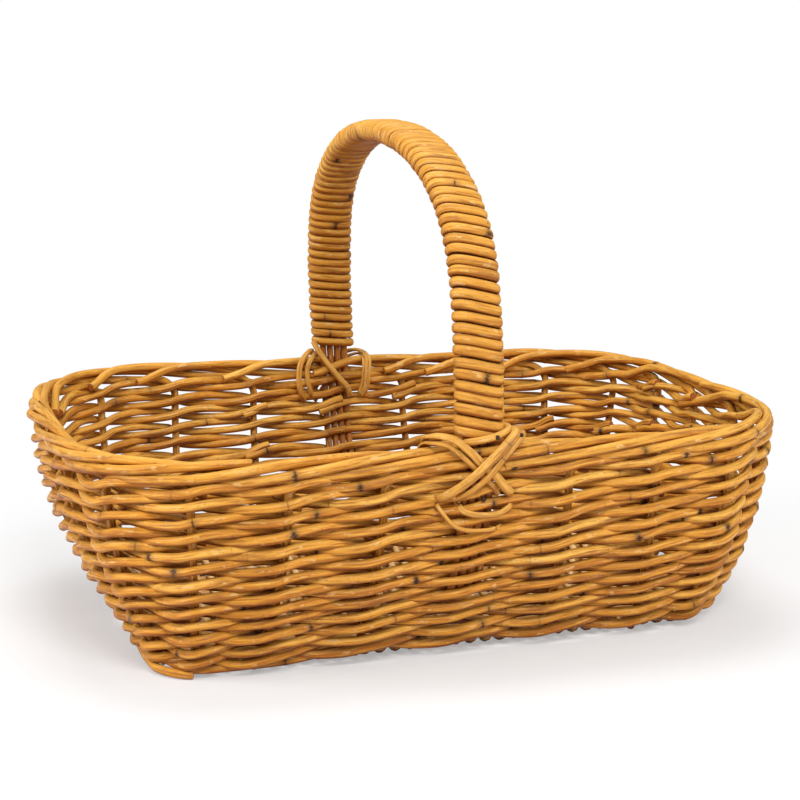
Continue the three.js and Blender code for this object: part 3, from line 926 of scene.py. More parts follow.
@dataclass
class Siding:
    """The walls' weave: two weavers in pairing, each in five rods, with 13 rounds.

    A wander is how many knots it has in a place and how far it reaches. A meander is a wave of
    some size, so many times round, with its phase and its slant up the wall. The shift and the tuck
    at a cane's ends are sizes with the length of cane that each takes. A strand keeps
    foot_share of its tilt at the foot and all of it past the run level_foot, and its dirt and
    painted shade fall to rim_soil_and_shade of their size at the rim.
    """

    rods: int = 5
    rounds: int = 13
    canes_in_a_rod: int = 6
    step_place: int = 18
    lift: float = 2.9
    steepness: float = 0.52
    pitch: float = 10.55
    top_gap: float = 9.8
    stand_off: float = 5.45
    seen_tilt: float = 1.0
    radius_range: tuple[float, float] = (2.65, 3.3)
    foot_radii: tuple[float, float] = (2.9, 2.8)
    # Dirt and painted shade on the canes under the first round.
    foot_soil_and_shade: float = 0.3
    softening: int = 4
    foot_softening: int = 14
    height_tint: float = 0.25
    samples: int = 26
    meander_size: float = 0.8
    meanders: tuple[tuple[float, ...], ...] = (
        (1.0, 3.0, 0.7, 0.021), (0.8, 5.0, 2.1, -0.034), (0.5, 11.0, 4.0, 0.05))
    phase_wander: Wander = (1.0, 0.06)
    out_wander: Wander = (2.0, 0.5)
    lift_wander: Wander = (1.0, 0.7)
    tilt_wander: Wander = (0.5, 0.6)
    rise_wander: Wander = (1.3, 0.95)
    end_shift: tuple[float, float] = (2.2, 34.0)
    end_tuck: tuple[float, float] = (1.3, 24.0)
    lap: float = 9.0
    level_foot: float = 45.0
    foot_share: float = 0.3
    rim_soil_and_shade: float = 0.45
    soil_and_shade_power: float = 1.5
    rng: np.random.Generator = field(default_factory=lambda: np.random.default_rng(4021))

    def first_round(self) -> float:
        """The run of the lowest round, counted down from the highest, under the border."""
        return WALL.full_run - self.top_gap - (self.rounds - 1) * self.pitch

    def breaks(self, sign: int) -> list[int]:
        """Where the rods of a weaver butt, counted in places from the start.

        Args:
            sign: 1 for the weaver that starts outside, -1 for the other.

        Returns:
            The counts, all of them behind a stake and clear of the handle.
        """
        inside_at = 1 if sign > 0 else 0
        total = self.rounds * WALL.places - 2
        counts = []
        for rod in range(self.rods + 1):
            count = 2 * math.floor(total * rod / self.rods / 2) + inside_at
            at_handle = (count + self.step_place) % (WALL.places // 2) == 0
            counts.append(count - 2 if at_handle else count)
        return counts

    def meander(self, place: Array, run: Array) -> Array:
        """How far the rounds stray up and down, as a sum of three waves round the basket.

        Args:
            place: Stake places.
            run: Runs.

        Returns:
            Lengths up the wall.
        """
        turn = 2.0 * np.pi * place / WALL.places
        waves = sum(size * np.sin(times * turn + phase + run * slant)
                    for size, times, phase, slant in self.meanders)
        return self.meander_size * (waves * np.clip(np.sin(np.pi * run / WALL.full_run), 0.0, 1.0))

    def strand(self, start: float, end: float, sign: int) -> tuple[Array, Array, Array]:
        """The path of one cane of pairing weave.

        With c the count of places, the strand stands out of the wall by N cos(pi c) and rises
        by L times a power of sin(pi c), so it goes from below to above close to a stake. The
        two strands keep level where the wall leans by b, which is a rise of N sin b cos(pi c).
        A round is level, and climbs one pitch in its last place.

        Args:
            start: The count where the cane starts.
            end: The count where it ends.
            sign: 1 for the weaver that starts outside, -1 for the other.

        Returns:
            The points, the wall's upward direction at each, and the dirt and painted shade on the
            cane there, which is most where it passes behind the other weaver and low on the wall.
        """
        count = np.linspace(start, end, int((end - start) * self.samples) + 2)
        place = count + self.step_place
        turns = np.floor(count / WALL.places)
        climb = smooth_step(count - turns * WALL.places - (WALL.places - 1))
        run = self.first_round() + (turns + climb) * self.pitch
        phase = np.pi * (count + drift(self.rng, count, *self.phase_wander))
        out_by = self.stand_off + drift(self.rng, count, *self.out_wander)
        out_by = sign * out_by * np.cos(phase)
        lift = self.lift + drift(self.rng, count, *self.lift_wander)
        tilt = (self.stand_off * np.sin(WALL.lean(run))
                + drift(self.rng, count, *self.tilt_wander)
                + self.seen_tilt * np.cos(2.0 * np.pi * place / WALL.places))
        tilt = tilt * between(self.foot_share, 1.0, smooth_step(run / self.level_foot))
        up_by = sign * (lift * bent(np.sin(phase), self.steepness) + tilt * np.cos(phase))
        up_by = up_by + drift(self.rng, count, *self.rise_wander) + self.meander(place, run)
        from_start = (count - start) * WALL.spacing
        from_end = (end - count) * WALL.spacing
        shift, shift_run = self.end_shift
        tuck, tuck_run = self.end_tuck
        up_by = up_by + shift * smooth_step(1.0 - from_start / shift_run)
        up_by = up_by - shift * smooth_step(1.0 - from_end / shift_run)
        out_by = out_by - tuck * smooth_step(1.0 - np.minimum(from_start, from_end) / tuck_run)
        path, up, _ = WALL.offset(place, run, out_by, up_by)
        # Dirt and painted shade: most where the strand passes behind the other weaver, and more low
        # on the wall.
        behind = (1.0 - sign * np.cos(phase)) / 2.0
        low = 1.0 - np.clip(run / WALL.full_run, 0.0, 1.0)
        soil_and_shade = behind**self.soil_and_shade_power * between(self.rim_soil_and_shade, 1.0, low)
        return relaxed(path, self.softening), up, soil_and_shade

    def foot_strand(self, knots: Knots) -> tuple[Array, Array]:
        """One of the canes that lie under the first round at the front left corner.

        Args:
            knots: Stake places, each with how far the cane is up and out there.

        Returns:
            The points, and the wall's upward direction at each.
        """
        at, rise, out_by = np.array(knots).T
        place = np.linspace(at[0], at[-1], int((at[-1] - at[0]) * self.samples))
        path = FOOT.point(place, np.zeros_like(place))
        _, up, out = FOOT.directions(place, np.full_like(place, 1.0))
        path = (path + Z_AXIS * np.interp(place, at, rise)[:, None]
                + out * np.interp(place, at, out_by)[:, None])
        return relaxed(path, self.foot_softening), up

    def build(self) -> None:
        """Makes the ten rods."""
        lap = self.lap / WALL.spacing
        for letter, sign in (("a", 1), ("b", -1)):
            counts = self.breaks(sign)
            for rod, (first, last) in enumerate(zip(counts[:-1], counts[1:]), start=1):
                bundle = CaneBundle(self.rng)
                shares = np.arange(self.canes_in_a_rod) / self.canes_in_a_rod
                cuts = [first + 2 * round((last - first) * share / 2) for share in shares]
                for start, end in zip(cuts, [*cuts[1:], last]):
                    radius = self.rng.uniform(*self.radius_range)
                    high = (start + end) / 2.0 / WALL.places / self.rounds
                    tint = self.rng.uniform(0.0, 1.0 - self.height_tint)
                    tint = tint + self.height_tint * high
                    # The long edges get dirt and painted shade where the canes touch.
                    cut = CaneCut(node_spacing=(55.0, 135.0), tint_range=(tint, tint), seam=0.4,
                                  splinters=0.09)
                    path, up, soil_and_shade = self.strand(start - lap, end + lap, sign)
                    bundle.add(path, up, radius, radius, cut, soil_and_shade)
                if letter == "a" and rod == 1:
                    for knots in FOOT_STRANDS:
                        path, up = self.foot_strand(knots)
                        # The foot strands get an even share of dirt and painted shade.
                        bundle.add(path, up, *self.foot_radii, CaneCut(tint_range=(0.2, 0.6)),
                                   self.foot_soil_and_shade)
                bundle.build(f"weaver_{letter}{rod}", WEAVER, f"side_weaver_{letter}{rod}")


# Cut canes that stand out of the border at a stake: stake places, each with how far out of the
# rim and up from it the cane is there. The short stakes lie along the rim for so many places.
STUBS = {
    16: ((16.12, 6.4, -1.5), (16.4, 6.2, 0.5), (16.8, 5.2, 2.5), (17.2, 2.0, 2.0)),
    15: ((15.86, 5.6, 2.6), (16.1, 6.0, 4.6), (16.5, 4.2, 5.8), (16.9, 0.5, 3.0)),
}
SHORT_STAKES = {19: 2.6, 3: 2.75, 8: 3.26, 9: 3.22, 10: 3.4, 11: 3.53, 12: 3.3}
LOW_STAKES = (2, 5, 22)


@dataclass
class Border:
    """The stakes, which stand in the walls and lie down at the rim as a rolled border.

    A stake lies round the rope of canes at the angle -90 + 75 (place - stake) degrees, so it
    goes out, over the top and in, and ends cut on the inside. A long one dips at its end. It
    lies down from the length lie_from before the rim, over the length lie_over. Its radius and
    its tint lie within their spreads, and its length along the rim within run_spread either way.
    """

    turn: float = math.radians(75.0)
    run_places: float = 3.65
    run_spread: float = 0.12
    radius_spread: tuple[float, float] = (0.97, 1.06)
    tint_spread: tuple[float, float] = (0.25, 1.0)
    rope_radius: float = 5.35
    stake_radius: float = 2.65
    rope_swell: float = 0.3
    core_radius: float = 2.6
    roll_wander: Wander = (1.0, 0.16)
    swell_wander: Wander = (1.0, 0.6)
    upright_wander: Wander = (1.0, 0.012)
    parting: float = 0.42
    parting_ease: float = 1.35
    parting_gap: float = 0.3
    bend: float = 3.2
    stake_start: float = 0.16
    filler_start: float = 0.22
    dip: float = 6.0
    dip_in: float = 3.2
    dip_places: float = 0.55
    long_places: float = 3.0
    low_foot: float = 1.3
    foot: float = 4.5
    # Painted shade on the upright parts of the stakes, gone where they lie in the border.
    shade_on_uprights: float = 0.55
    lie_from: float = 26.0
    lie_over: float = 34.0
    samples: int = 24
    thinning: int = 6
    upright_knots: int = 9
    curve_step: float = 1.5
    rng: np.random.Generator = field(default_factory=lambda: np.random.default_rng(77))

    def roll(self, place: Array, stake: float) -> Array:
        """The angle round the rope where a stake lies at a place."""
        return -math.pi / 2.0 + self.turn * (place - stake)

    def rope_path(self, stake: float, start: float, end: float) -> tuple[Array, Array]:
        """The part of a stake that lies in the rope, which parts round the handle's core.

        Args:
            stake: The stake's own place.
            start: The place where the part starts.
            end: The place where it ends.

        Returns:
            The points, and the outward direction at each.
        """
        place = np.linspace(start, end, int((end - start) * self.samples) + 2)
        angle = self.roll(place, stake) + drift(self.rng, place, *self.roll_wander)
        swell = self.rope_radius + drift(self.rng, place, *self.swell_wander)
        out_by = swell * np.cos(angle)
        handle = np.round(place / Side.BACK.value) * Side.BACK.value
        near = 1.0 - np.abs(place - handle) / self.parting
        clear = self.core_radius + self.stake_radius + self.rope_swell + self.parting_gap
        parted = np.sign(np.cos(self.roll(handle, stake))) * np.maximum(np.abs(out_by), clear)
        past = smooth_step((place - (end - self.dip_places)) / self.dip_places)
        past = past * (end - stake > self.long_places)
        out_by = between(out_by, parted, smooth_step(self.parting_ease * near))
        out_by = out_by - self.dip_in * past
        up_by = swell * np.sin(angle) - self.dip * past
        path, _, out = WALL.offset(place, WALL.rim(place), out_by, up_by)
        return path, out

    def stake_path(self, stake: int, length: float) -> tuple[Array, Array]:
        """A whole stake: up the wall from the foot, a bend, then round the rope.

        Args:
            stake: The stake's place.
            length: How many places it lies along the rim.

        Returns:
            The points, and the outward direction at each.
        """
        foot = self.low_foot if stake in LOW_STAKES else self.foot
        bend = WALL.full_run - self.rope_radius - self.bend * self.stake_radius
        run = np.linspace(foot, bend, self.upright_knots)
        lean = drift(self.rng, np.linspace(0.0, 3.0, self.upright_knots), *self.upright_wander)
        upright, _, upright_out = WALL.offset(stake + lean, run)
        rope, rope_out = self.rope_path(stake, stake + self.stake_start, stake + length)
        points = np.concatenate([upright, rope[::self.thinning], rope[-1:]])
        outs = np.concatenate([upright_out, rope_out[::self.thinning], rope_out[-1:]])
        path = eased_curve(points, self.curve_step)
        share, rough = (lengths_along(line) for line in (path, points))
        share, rough = share / share[-1], rough / rough[-1]
        return path, np.stack([np.interp(share, rough, column) for column in outs.T], axis=1)

    def build(self) -> None:
        """Makes the stakes and the two short canes that fill the border at the handle."""
        number = 0
        for place in range(WALL.places):
            bundle = CaneBundle(self.rng)
            radius = self.stake_radius * self.rng.uniform(*self.radius_spread)
            tint = self.rng.uniform(*self.tint_spread)
            cut = CaneCut(sides=14, ring_step=2.6, node_spacing=(90.0, 190.0),
                          tint_range=(tint, tint), splinters=0.06)
            stray = self.rng.uniform(-self.run_spread, self.run_spread)
            full = SHORT_STAKES.get(place, self.run_places + stray)
            if place in (Side.FRONT.value, Side.BACK.value):
                path, out = self.rope_path(place, place + self.filler_start, place + full)
                bundle.add(path, out, radius + self.rope_swell, radius + self.rope_swell, cut)
                end = Side(place).name.lower()
                bundle.build(f"border_cane_{end}", STAKE, f"border_filler_{end}")
                continue
            number += 1
            path, out = self.stake_path(place, full)
            past = lengths_along(path) - WALL.full_run + self.lie_from
            lying = smooth_step(past / self.lie_over)
            thick = radius + self.rope_swell * lying
            # The upright part of the stake is darkened as painted shade.
            bundle.add(path, out, thick, thick, cut, self.shade_on_uprights * (1.0 - lying))
            if place in STUBS:
                at, out_by, up_by = np.array(STUBS[place]).T
                stub, _, _ = WALL.offset(at, WALL.rim(at), out_by, up_by)
                bundle.add(eased_curve(stub, self.curve_step), Z_AXIS, thick[-1], thick[-1],
                           CaneCut(tint_range=(0.8, 0.9)))
            bundle.build(f"stake_cane_{number:02d}", STAKE, f"stake_{number:02d}")


@dataclass
class Handle:
    """The fixed arch: four core canes side by side, woven into the walls and wound close.

    The stray knots are shares of the arch's length with how far it strays to the right there.
    The bulge is how much fuller the winding is, at which share of the arch and how widely. The
    joint is the gap between two lengths of the winding, as a share of a turn.
    """

    rise: float = 188.5
    front_squareness: float = 2.61
    back_squareness: float = 2.83
    core_canes: int = 4
    core_radius: float = 2.6
    core_gap: float = 0.3
    depth_in_wall: float = 96.0
    wrap_canes: int = 4
    turns_in_a_cane: int = 21
    turn_points: int = 60
    joint: float = 0.02
    softening: int = 2
    arch_samples: int = 2001
    wall_knots: int = 14
    arch_knots_apart: float = 9.0
    core_step: float = 2.0
    wrap_thickness: float = 5.1
    front_start: float = 11.0
    back_start: float = 19.2
    front_pitch: float = 7.0
    outer_slant: tuple[float, float] = (0.92, 0.55)
    turn_wander: Wander = (1.4, 0.07)
    reach_wander: Wander = (1.5, 0.22)
    press: float = 0.14
    wrap_gap: float = 0.1
    wrap_width: float = 0.482
    hug_power: float = 0.5
    lift_power: float = 0.62
    slant_mix: tuple[float, float] = (0.72, 0.28)
    bulge: Triple = (0.8, 0.87, 0.12)
    stray: tuple[tuple[float, float], ...] = (
        (0.0, -1.6), (0.12, -0.4), (0.24, 1.4), (0.34, -2.0), (0.42, -4.6), (0.5, -2.2),
        (0.58, -0.2), (0.66, -0.9), (0.76, -2.2), (0.88, 1.6), (1.0, 6.2))
    rng: np.random.Generator = field(default_factory=lambda: np.random.default_rng(905))

    @property
    def core_spacing(self) -> float:
        """The distance from core cane to core cane."""
        return 2.0 * self.core_radius + self.core_gap

    def arch(self, step: float = 0.5) -> Array:
        """The middle of the arch, a superellipse (y/b)^q + (z/h)^q = 1, at even steps.

        The squareness q has one value for the front half and another for the back half.

        Args:
            step: The length between two points.

        Returns:
            Points from the front to the back.
        """
        angle = np.linspace(0.0, np.pi, self.arch_samples)
        power = 2.0 / np.where(angle < np.pi / 2.0, self.front_squareness, self.back_squareness)
        height, _, half_width, _ = WALL.level(np.array(WALL.full_run))
        y = -half_width * bent(np.cos(angle), power)
        z = height + self.rise * bent(np.sin(angle), power)
        path = np.stack([np.zeros_like(y), y, z], axis=1)
        run = lengths_along(path)
        path[:, 0] = self.shift(run / run[-1])
        total = lengths_along(path)[-1]
        return at_lengths(path, path, np.linspace(0.0, total, int(total / step) + 1))

    def shift(self, share: Array) -> Array:
        """How far the arch strays to the right, a smooth curve through its stray knots.

        Args:
            share: Shares of the arch's length, from the front.

        Returns:
            Lengths along X.
        """
        length = 600.0
        knots = np.array(self.stray)
        points = np.column_stack([knots[:, 0] * length, knots[:, 1], np.zeros(len(knots))])
        curve = eased_curve(points, 4.0)
        return np.interp(share * length, curve[:, 0], curve[:, 1])

    def core_path(self, offset: float) -> Array:
        """One core cane: up the front wall, over the arch and down the back wall.

        Args:
            offset: How far the cane is from the middle of the core, along X.

        Returns:
            Its points.
        """
        run = np.linspace(WALL.full_run - self.depth_in_wall, WALL.full_run,
                          self.wall_knots)[:-1]
        front = WALL.point(np.zeros_like(run), run)
        back = WALL.point(np.full_like(run, Side.BACK.value), run[::-1])
        front[:, 0], back[:, 0] = self.stray[0][1], self.stray[-1][1]
        knots = np.concatenate([front, self.arch(self.arch_knots_apart), back])
        path = eased_curve(knots, self.core_step)
        path[:, 0] += offset
        return path

    def turn_lengths(self) -> Array:
        """Where the turns stand along the arch, p t + b t^2, with the front's pitch p.

        Returns:
            The running length at each whole turn.
        """
        total = self.wrap_canes * self.turns_in_a_cane
        wound = lengths_along(self.arch())[-1] - self.front_start - self.back_start
        turn = np.arange(total + 1.0)
        curve = (wound - self.front_pitch * total) / total**2
        return self.front_start + self.front_pitch * turn + curve * turn**2

    def wrap_path(self, first_turn: float, last_turn: float) -> tuple[Array, Array]:
        """Part of the winding: a rounded oblong turn round the core, carried along the arch.

        A turn at angle a goes through X = c sgn(cos a)|cos a|^k + r cos a and
        out = r sgn(sin a)|sin a|^m, with the hug and lift powers k and m, so it hugs the row of
        core canes. At the front it goes forward mostly on the outer side of the arch, and at
        the back it does so evenly.

        Args:
            first_turn: The turn where the cane starts.
            last_turn: The turn where it ends.

        Returns:
            The points, and the arch's direction at each.
        """
        arch = self.arch()
        ahead = unit(np.gradient(arch, axis=0))
        turn = np.arange(first_turn, last_turn, 1.0 / self.turn_points)
        angle = 2.0 * np.pi * turn
        outer_core = self.core_spacing * (self.core_canes - 1) / 2.0
        hug = bent(np.cos(angle), self.hug_power)
        starts = self.turn_lengths()
        outer = between(*self.outer_slant, turn / (len(starts) - 1))
        steep, even = self.slant_mix
        crossed = (1.0 - steep * hug - even * np.cos(angle)) / 2.0
        forth = np.where(np.sin(angle) >= 0.0, outer * crossed,
                         between(outer, 1.0, 1.0 - crossed))
        going = np.floor(turn) + forth + drift(self.rng, turn, *self.turn_wander)
        length = np.interp(going, np.arange(len(starts)), starts)
        centre = at_lengths(arch, arch, length)
        forward = unit(at_lengths(arch, ahead, length))
        outward = unit(np.cross(X_AXIS, forward))
        bulge, middle, width = self.bulge
        reach = self.core_radius + self.wrap_thickness / 2.0 + self.wrap_gap
        reach = reach + drift(self.rng, turn, *self.reach_wander)
        reach = reach + bulge * bell(length / lengths_along(arch)[-1], middle, width)
        across = outer_core * hug + reach * np.cos(angle)
        lift = reach * bent(np.sin(angle), self.lift_power)
        path = centre + X_AXIS * across[:, None] + outward * lift[:, None]
        return relaxed(path, self.softening), forward

    def build(self) -> None:
        """Makes the core and then its winding."""
        self.build_core()
        self.build_wrap()

    def build_core(self) -> None:
        """Makes the four core canes."""
        for number in range(self.core_canes):
            bundle = CaneBundle(self.rng)
            offset = (number - (self.core_canes - 1) / 2.0) * self.core_spacing
            bundle.add(self.core_path(offset), X_AXIS, self.core_radius + self.press,
                       self.core_radius, CaneCut(ring_step=3.5))
            bundle.build(f"handle_core_cane_{number + 1}", CORE, f"handle_core_{number + 1}")

    def build_wrap(self) -> None:
        """Makes the winding, in four lengths of cane."""
        starts = self.turn_lengths()
        # The edges of each turn get dirt and painted shade where the turns touch.
        cut = CaneCut(sides=14, ring_step=1.9, node_spacing=(70.0, 190.0), node_swell=0.05,
                      squareness=2.2, seam=0.8, tint_range=(0.25, 1.0), splinters=0.12)
        for number in range(self.wrap_canes):
            bundle = CaneBundle(self.rng)
            first = number * self.turns_in_a_cane
            last = first + self.turns_in_a_cane
            path, forward = self.wrap_path(first, last - self.joint)
            pitch = np.interp(np.linspace(first, last, len(path)), np.arange(len(starts)),
                              np.gradient(starts))
            bundle.add(path, forward, self.wrap_thickness / 2.0, pitch * self.wrap_width, cut)
            bundle.build(f"wound_cane_{number + 1}", WRAP, f"handle_wrap_{number + 1}")


@dataclass
class Base:
    """The floor: thick sticks along the basket and a cane woven to and fro across them.

    A pass goes over each stick that reaches its place along X, or that is short of it by less
    than the slack.
    """

    sticks: int = 7
    stick_radius: float = 3.2
    cane_breadth: float = 2.35
    cane_height: float = 2.0
    middle: float = 7.466
    outer_y: float = 103.5
    half_length: float = 190.0
    half_width: float = 107.5
    corner: float = 27.0
    pitch: float = 5.2
    end_gap: float = 4.0
    clearance: float = 0.05
    turn_swell: float = 1.04
    stick_points: int = 60
    points_to_a_stick: int = 10
    turn_points: int = 9
    slack: float = 1.0
    pass_wander: Wander = (1.0, 0.35)
    bow: Wander = (1.0, 0.4)
    rng: np.random.Generator = field(default_factory=lambda: np.random.default_rng(31))

    def stick_y(self, index: Array) -> Array:
        """The place of a stick across the basket, at even steps."""
        return -self.outer_y + 2.0 * self.outer_y * index / (self.sticks - 1)

    def reach(self, y: Array) -> Array:
        """How far the floor reaches along X at a place across it, inside a rounded oblong."""
        into = np.clip(np.abs(y) - (self.half_width - self.corner), 0.0, self.corner)
        return self.half_length - self.corner + np.sqrt(self.corner**2 - into**2)

    def weave_path(self) -> Array:
        """The cane of the floor: over and under the sticks, and round the outer one at a turn.

        Along a pass the height is the floor's middle plus or minus S cos(pi y / spacing), and
        a turn is half a circle of radius S round the outer stick.

        Returns:
            The points of the whole cane.
        """
        stand = self.stick_radius + self.cane_height + self.clearance
        x_passes = np.arange(-self.half_length + self.end_gap,
                             self.half_length - self.end_gap + 0.1, self.pitch)
        parts = []
        for number, x in enumerate(x_passes):
            inside = [i for i in range(self.sticks)
                      if self.reach(self.stick_y(i)) > abs(x) - self.slack]
            order = inside if number % 2 == 0 else inside[::-1]
            first, last = order[0], order[-1]
            t = np.linspace(first, last, abs(last - first) * self.points_to_a_stick + 1)
            wave = stand * np.cos(np.pi * (t + number))
            wander = drift(self.rng, np.linspace(0.0, 6.0, len(t)), *self.pass_wander)
            parts.append(np.stack([x + wander, self.stick_y(t), self.middle + wave], axis=1))
            if number == len(x_passes) - 1:
                continue
            outward = 1.0 if number % 2 == 0 else -1.0
            over = 1.0 if (last + number) % 2 == 0 else -1.0
            angle = np.linspace(0.0, np.pi, self.turn_points)[1:-1]
            turn_y = self.stick_y(last) + outward * self.turn_swell * stand * np.sin(angle)
            turn_z = self.middle + over * stand * np.cos(angle)
            turn_x = x + self.pitch * (angle / np.pi)
            parts.append(np.stack([turn_x, turn_y, turn_z], axis=1))
        return np.concatenate(parts)

    def build(self) -> None:
        """Makes the sticks and the woven cane."""
        for number in range(self.sticks):
            bundle = CaneBundle(self.rng)
            y = float(self.stick_y(np.array(number)))
            x = np.linspace(-1.0, 1.0, self.stick_points) * float(self.reach(np.array(y)))
            bow = drift(self.rng, np.linspace(0.0, 4.0, self.stick_points), *self.bow)
            path = np.stack([x, y + bow, np.full_like(x, self.middle)], axis=1)
            bundle.add(path, Z_AXIS, self.stick_radius, self.stick_radius, CaneCut(ring_step=4.0))
            bundle.build(f"floor_stick_{number + 1}", BASE_STICK, f"base_stick_{number + 1}")
        bundle = CaneBundle(self.rng)
        bundle.add(self.weave_path(), X_AXIS, self.cane_height, self.cane_breadth,
                   CaneCut(sides=10, ring_step=3.0))
        bundle.build("floor_cane", BASE_CANE, "base_weaver")


@dataclass(frozen=True)
class Tie:
    """One flattened cane at a foot of the handle, by points in the foot's own measure.

    A point is the distance to the right as seen from outside, the distance above the middle of
    the rim, and the distance out of the wall.
    """

    breadth: float
    thickness: float
    knots: Knots


FRONT_LEFT = (
    Tie(5.7, 2.7, ((-30, -24, -9.6), (-30.5, -8, -10.8), (-31.5, 5, -9.4), (-34, 12, -5),
                   (-34, 15.2, 0.5), (-29, 16.6, 6), (-20.5, 14.2, 9.8), (-10.7, 6.4, 11),
                   (-3.4, -1, 11.2), (6, -9, 11), (13.4, -17.4, 9.6), (17.8, -21.6, 7.2),
                   (19.6, -23.8, 4))),
    Tie(3.6, 2.2, ((-36, -10, -9.6), (-36.5, 4, -8.8), (-35.5, 10, -3.5), (-32.6, 11.6, 3),
                   (-28.6, 12, 7.4), (-23.6, 10.4, 9.2), (-15.8, 4.2, 9.8), (-6.6, -4.6, 10),
                   (3.2, -13.8, 9.4), (10.4, -22.7, 6))),
    Tie(2.9, 1.5, ((-30, -24.4, 0.5), (-26.8, -30, 6), (-19.3, -38.7, 8.8),
                   (-9.9, -43.3, 9.2), (3.5, -44.7, 8.8), (10.7, -44.8, 7),
                   (16.1, -46.5, 1.5))),
    Tie(4.6, 4.0, ((-13, 9.6, 1), (-12.4, 11.4, 6.4), (-3.7, 12.8, 9), (5.9, 14.4, 8.6),
                   (14.6, 16.6, 5), (17.4, 17.6, -1), (13, 18, -5.6))),
)
FRONT_RIGHT = (
    Tie(6.0, 2.7, ((23.3, -23, -9.4), (25.8, -14, -10.8), (27, -4, -11), (24.5, 6, -10),
                   (20.8, 13.4, -6.5), (20.2, 16.8, 0), (20.2, 16.2, 6.6), (14.6, 12.3, 11.6),
                   (7.9, 6.8, 13.8), (1.4, 1.2, 14.4), (-4.9, -4.5, 14.2),
                   (-10.9, -9.6, 13.2), (-16.7, -14.4, 11.6), (-22.6, -18.6, 9.6),
                   (-26.2, -21.6, 7.2), (-28, -23.4, 4))),
    Tie(4.0, 2.3, ((16.2, -23, -9.4), (20.4, -11.3, -10.6), (21.6, -0.3, -10.8),
                   (23.6, 8, -8), (25.6, 13.6, -2.5), (25.4, 14.6, 4), (22.4, 12.6, 9),
                   (15.8, 7.2, 11.8), (7.7, -1.6, 13), (-0.7, -10.7, 12.6),
                   (-11.1, -19.3, 10.2), (-16, -23.4, 6.4))),
    Tie(4.0, 1.8, ((-14.8, -26.5, 0.5), (-12.9, -30.8, 6.8), (-8.1, -32.8, 8.6),
                   (-1.6, -34.1, 9.2), (9.1, -34.5, 8.8), (17.3, -32, 6.8), (22, -31, 1))),
)
BACK_RIGHT = (
    Tie(4.4, 2.6, ((-12, -24, 7), (-4, -12, 10.6), (4, 2, 11), (9.5, 10.5, 7),
                   (12, 13.6, 1), (15, 13, -4), (20.3, 9.4, -8.4), (24.5, 2.9, -11),
                   (25.6, -5.4, -11.2), (25.1, -14.4, -10.8), (22.5, -21.6, -8.4),
                   (20.5, -25, -4))),
    Tie(3.7, 2.4, ((-16, -19, 7), (-8, -9, 10.4), (1, 3, 10.6), (7, 9, 6.6), (9.6, 11.6, 0),
                   (12.3, 10.2, -6.2), (16.6, 6, -10), (19.1, -0.8, -11), (18.6, -9.7, -11),
                   (16, -18.8, -8.6), (14.6, -23, -4))),
    Tie(4.4, 3.4, ((12.6, 21, -7.6), (8.9, 13.2, -10.6), (2.5, 3.4, -12.4),
                   (-5.2, -6.8, -12.4), (-12.2, -15.4, -11.2), (-15.5, -22.7, -8.6))),
)
BACK_LEFT = (
    Tie(5.0, 2.6, ((13, -23, 7), (4, -12, 12), (-6, 0, 13), (-14, 8.4, 11), (-20.8, 11.6, 6),
                   (-26.2, 12, 2.6), (-29.6, 9.8, -3), (-30.8, 5.6, -8.6),
                   (-29.8, -0.8, -11.2), (-28.9, -9.2, -11.4), (-27.6, -17.2, -10.4),
                   (-24.8, -22.4, -8.4))),
    Tie(3.2, 2.0, ((9, -26, 6), (0, -15, 11), (-10, -3, 12.4), (-17.4, 5, 10.6),
                   (-23.6, 8.6, 6), (-27.6, 9, 1), (-28.2, 6.6, -5), (-27.4, 0, -9),
                   (-26.4, -10, -9.6), (-23, -20.6, -8))),
)
TIES = {Side.FRONT: (FRONT_LEFT, FRONT_RIGHT), Side.BACK: (BACK_LEFT, BACK_RIGHT)}
# Rings of a nail from its point to its head: share of the head's radius, and how far out.
NAIL_PROFILE = ((0.3, -6.0), (0.3, -0.6), (1.0, -0.6), (1.0, -0.2), (0.85, 0.15), (0.5, 0.4))


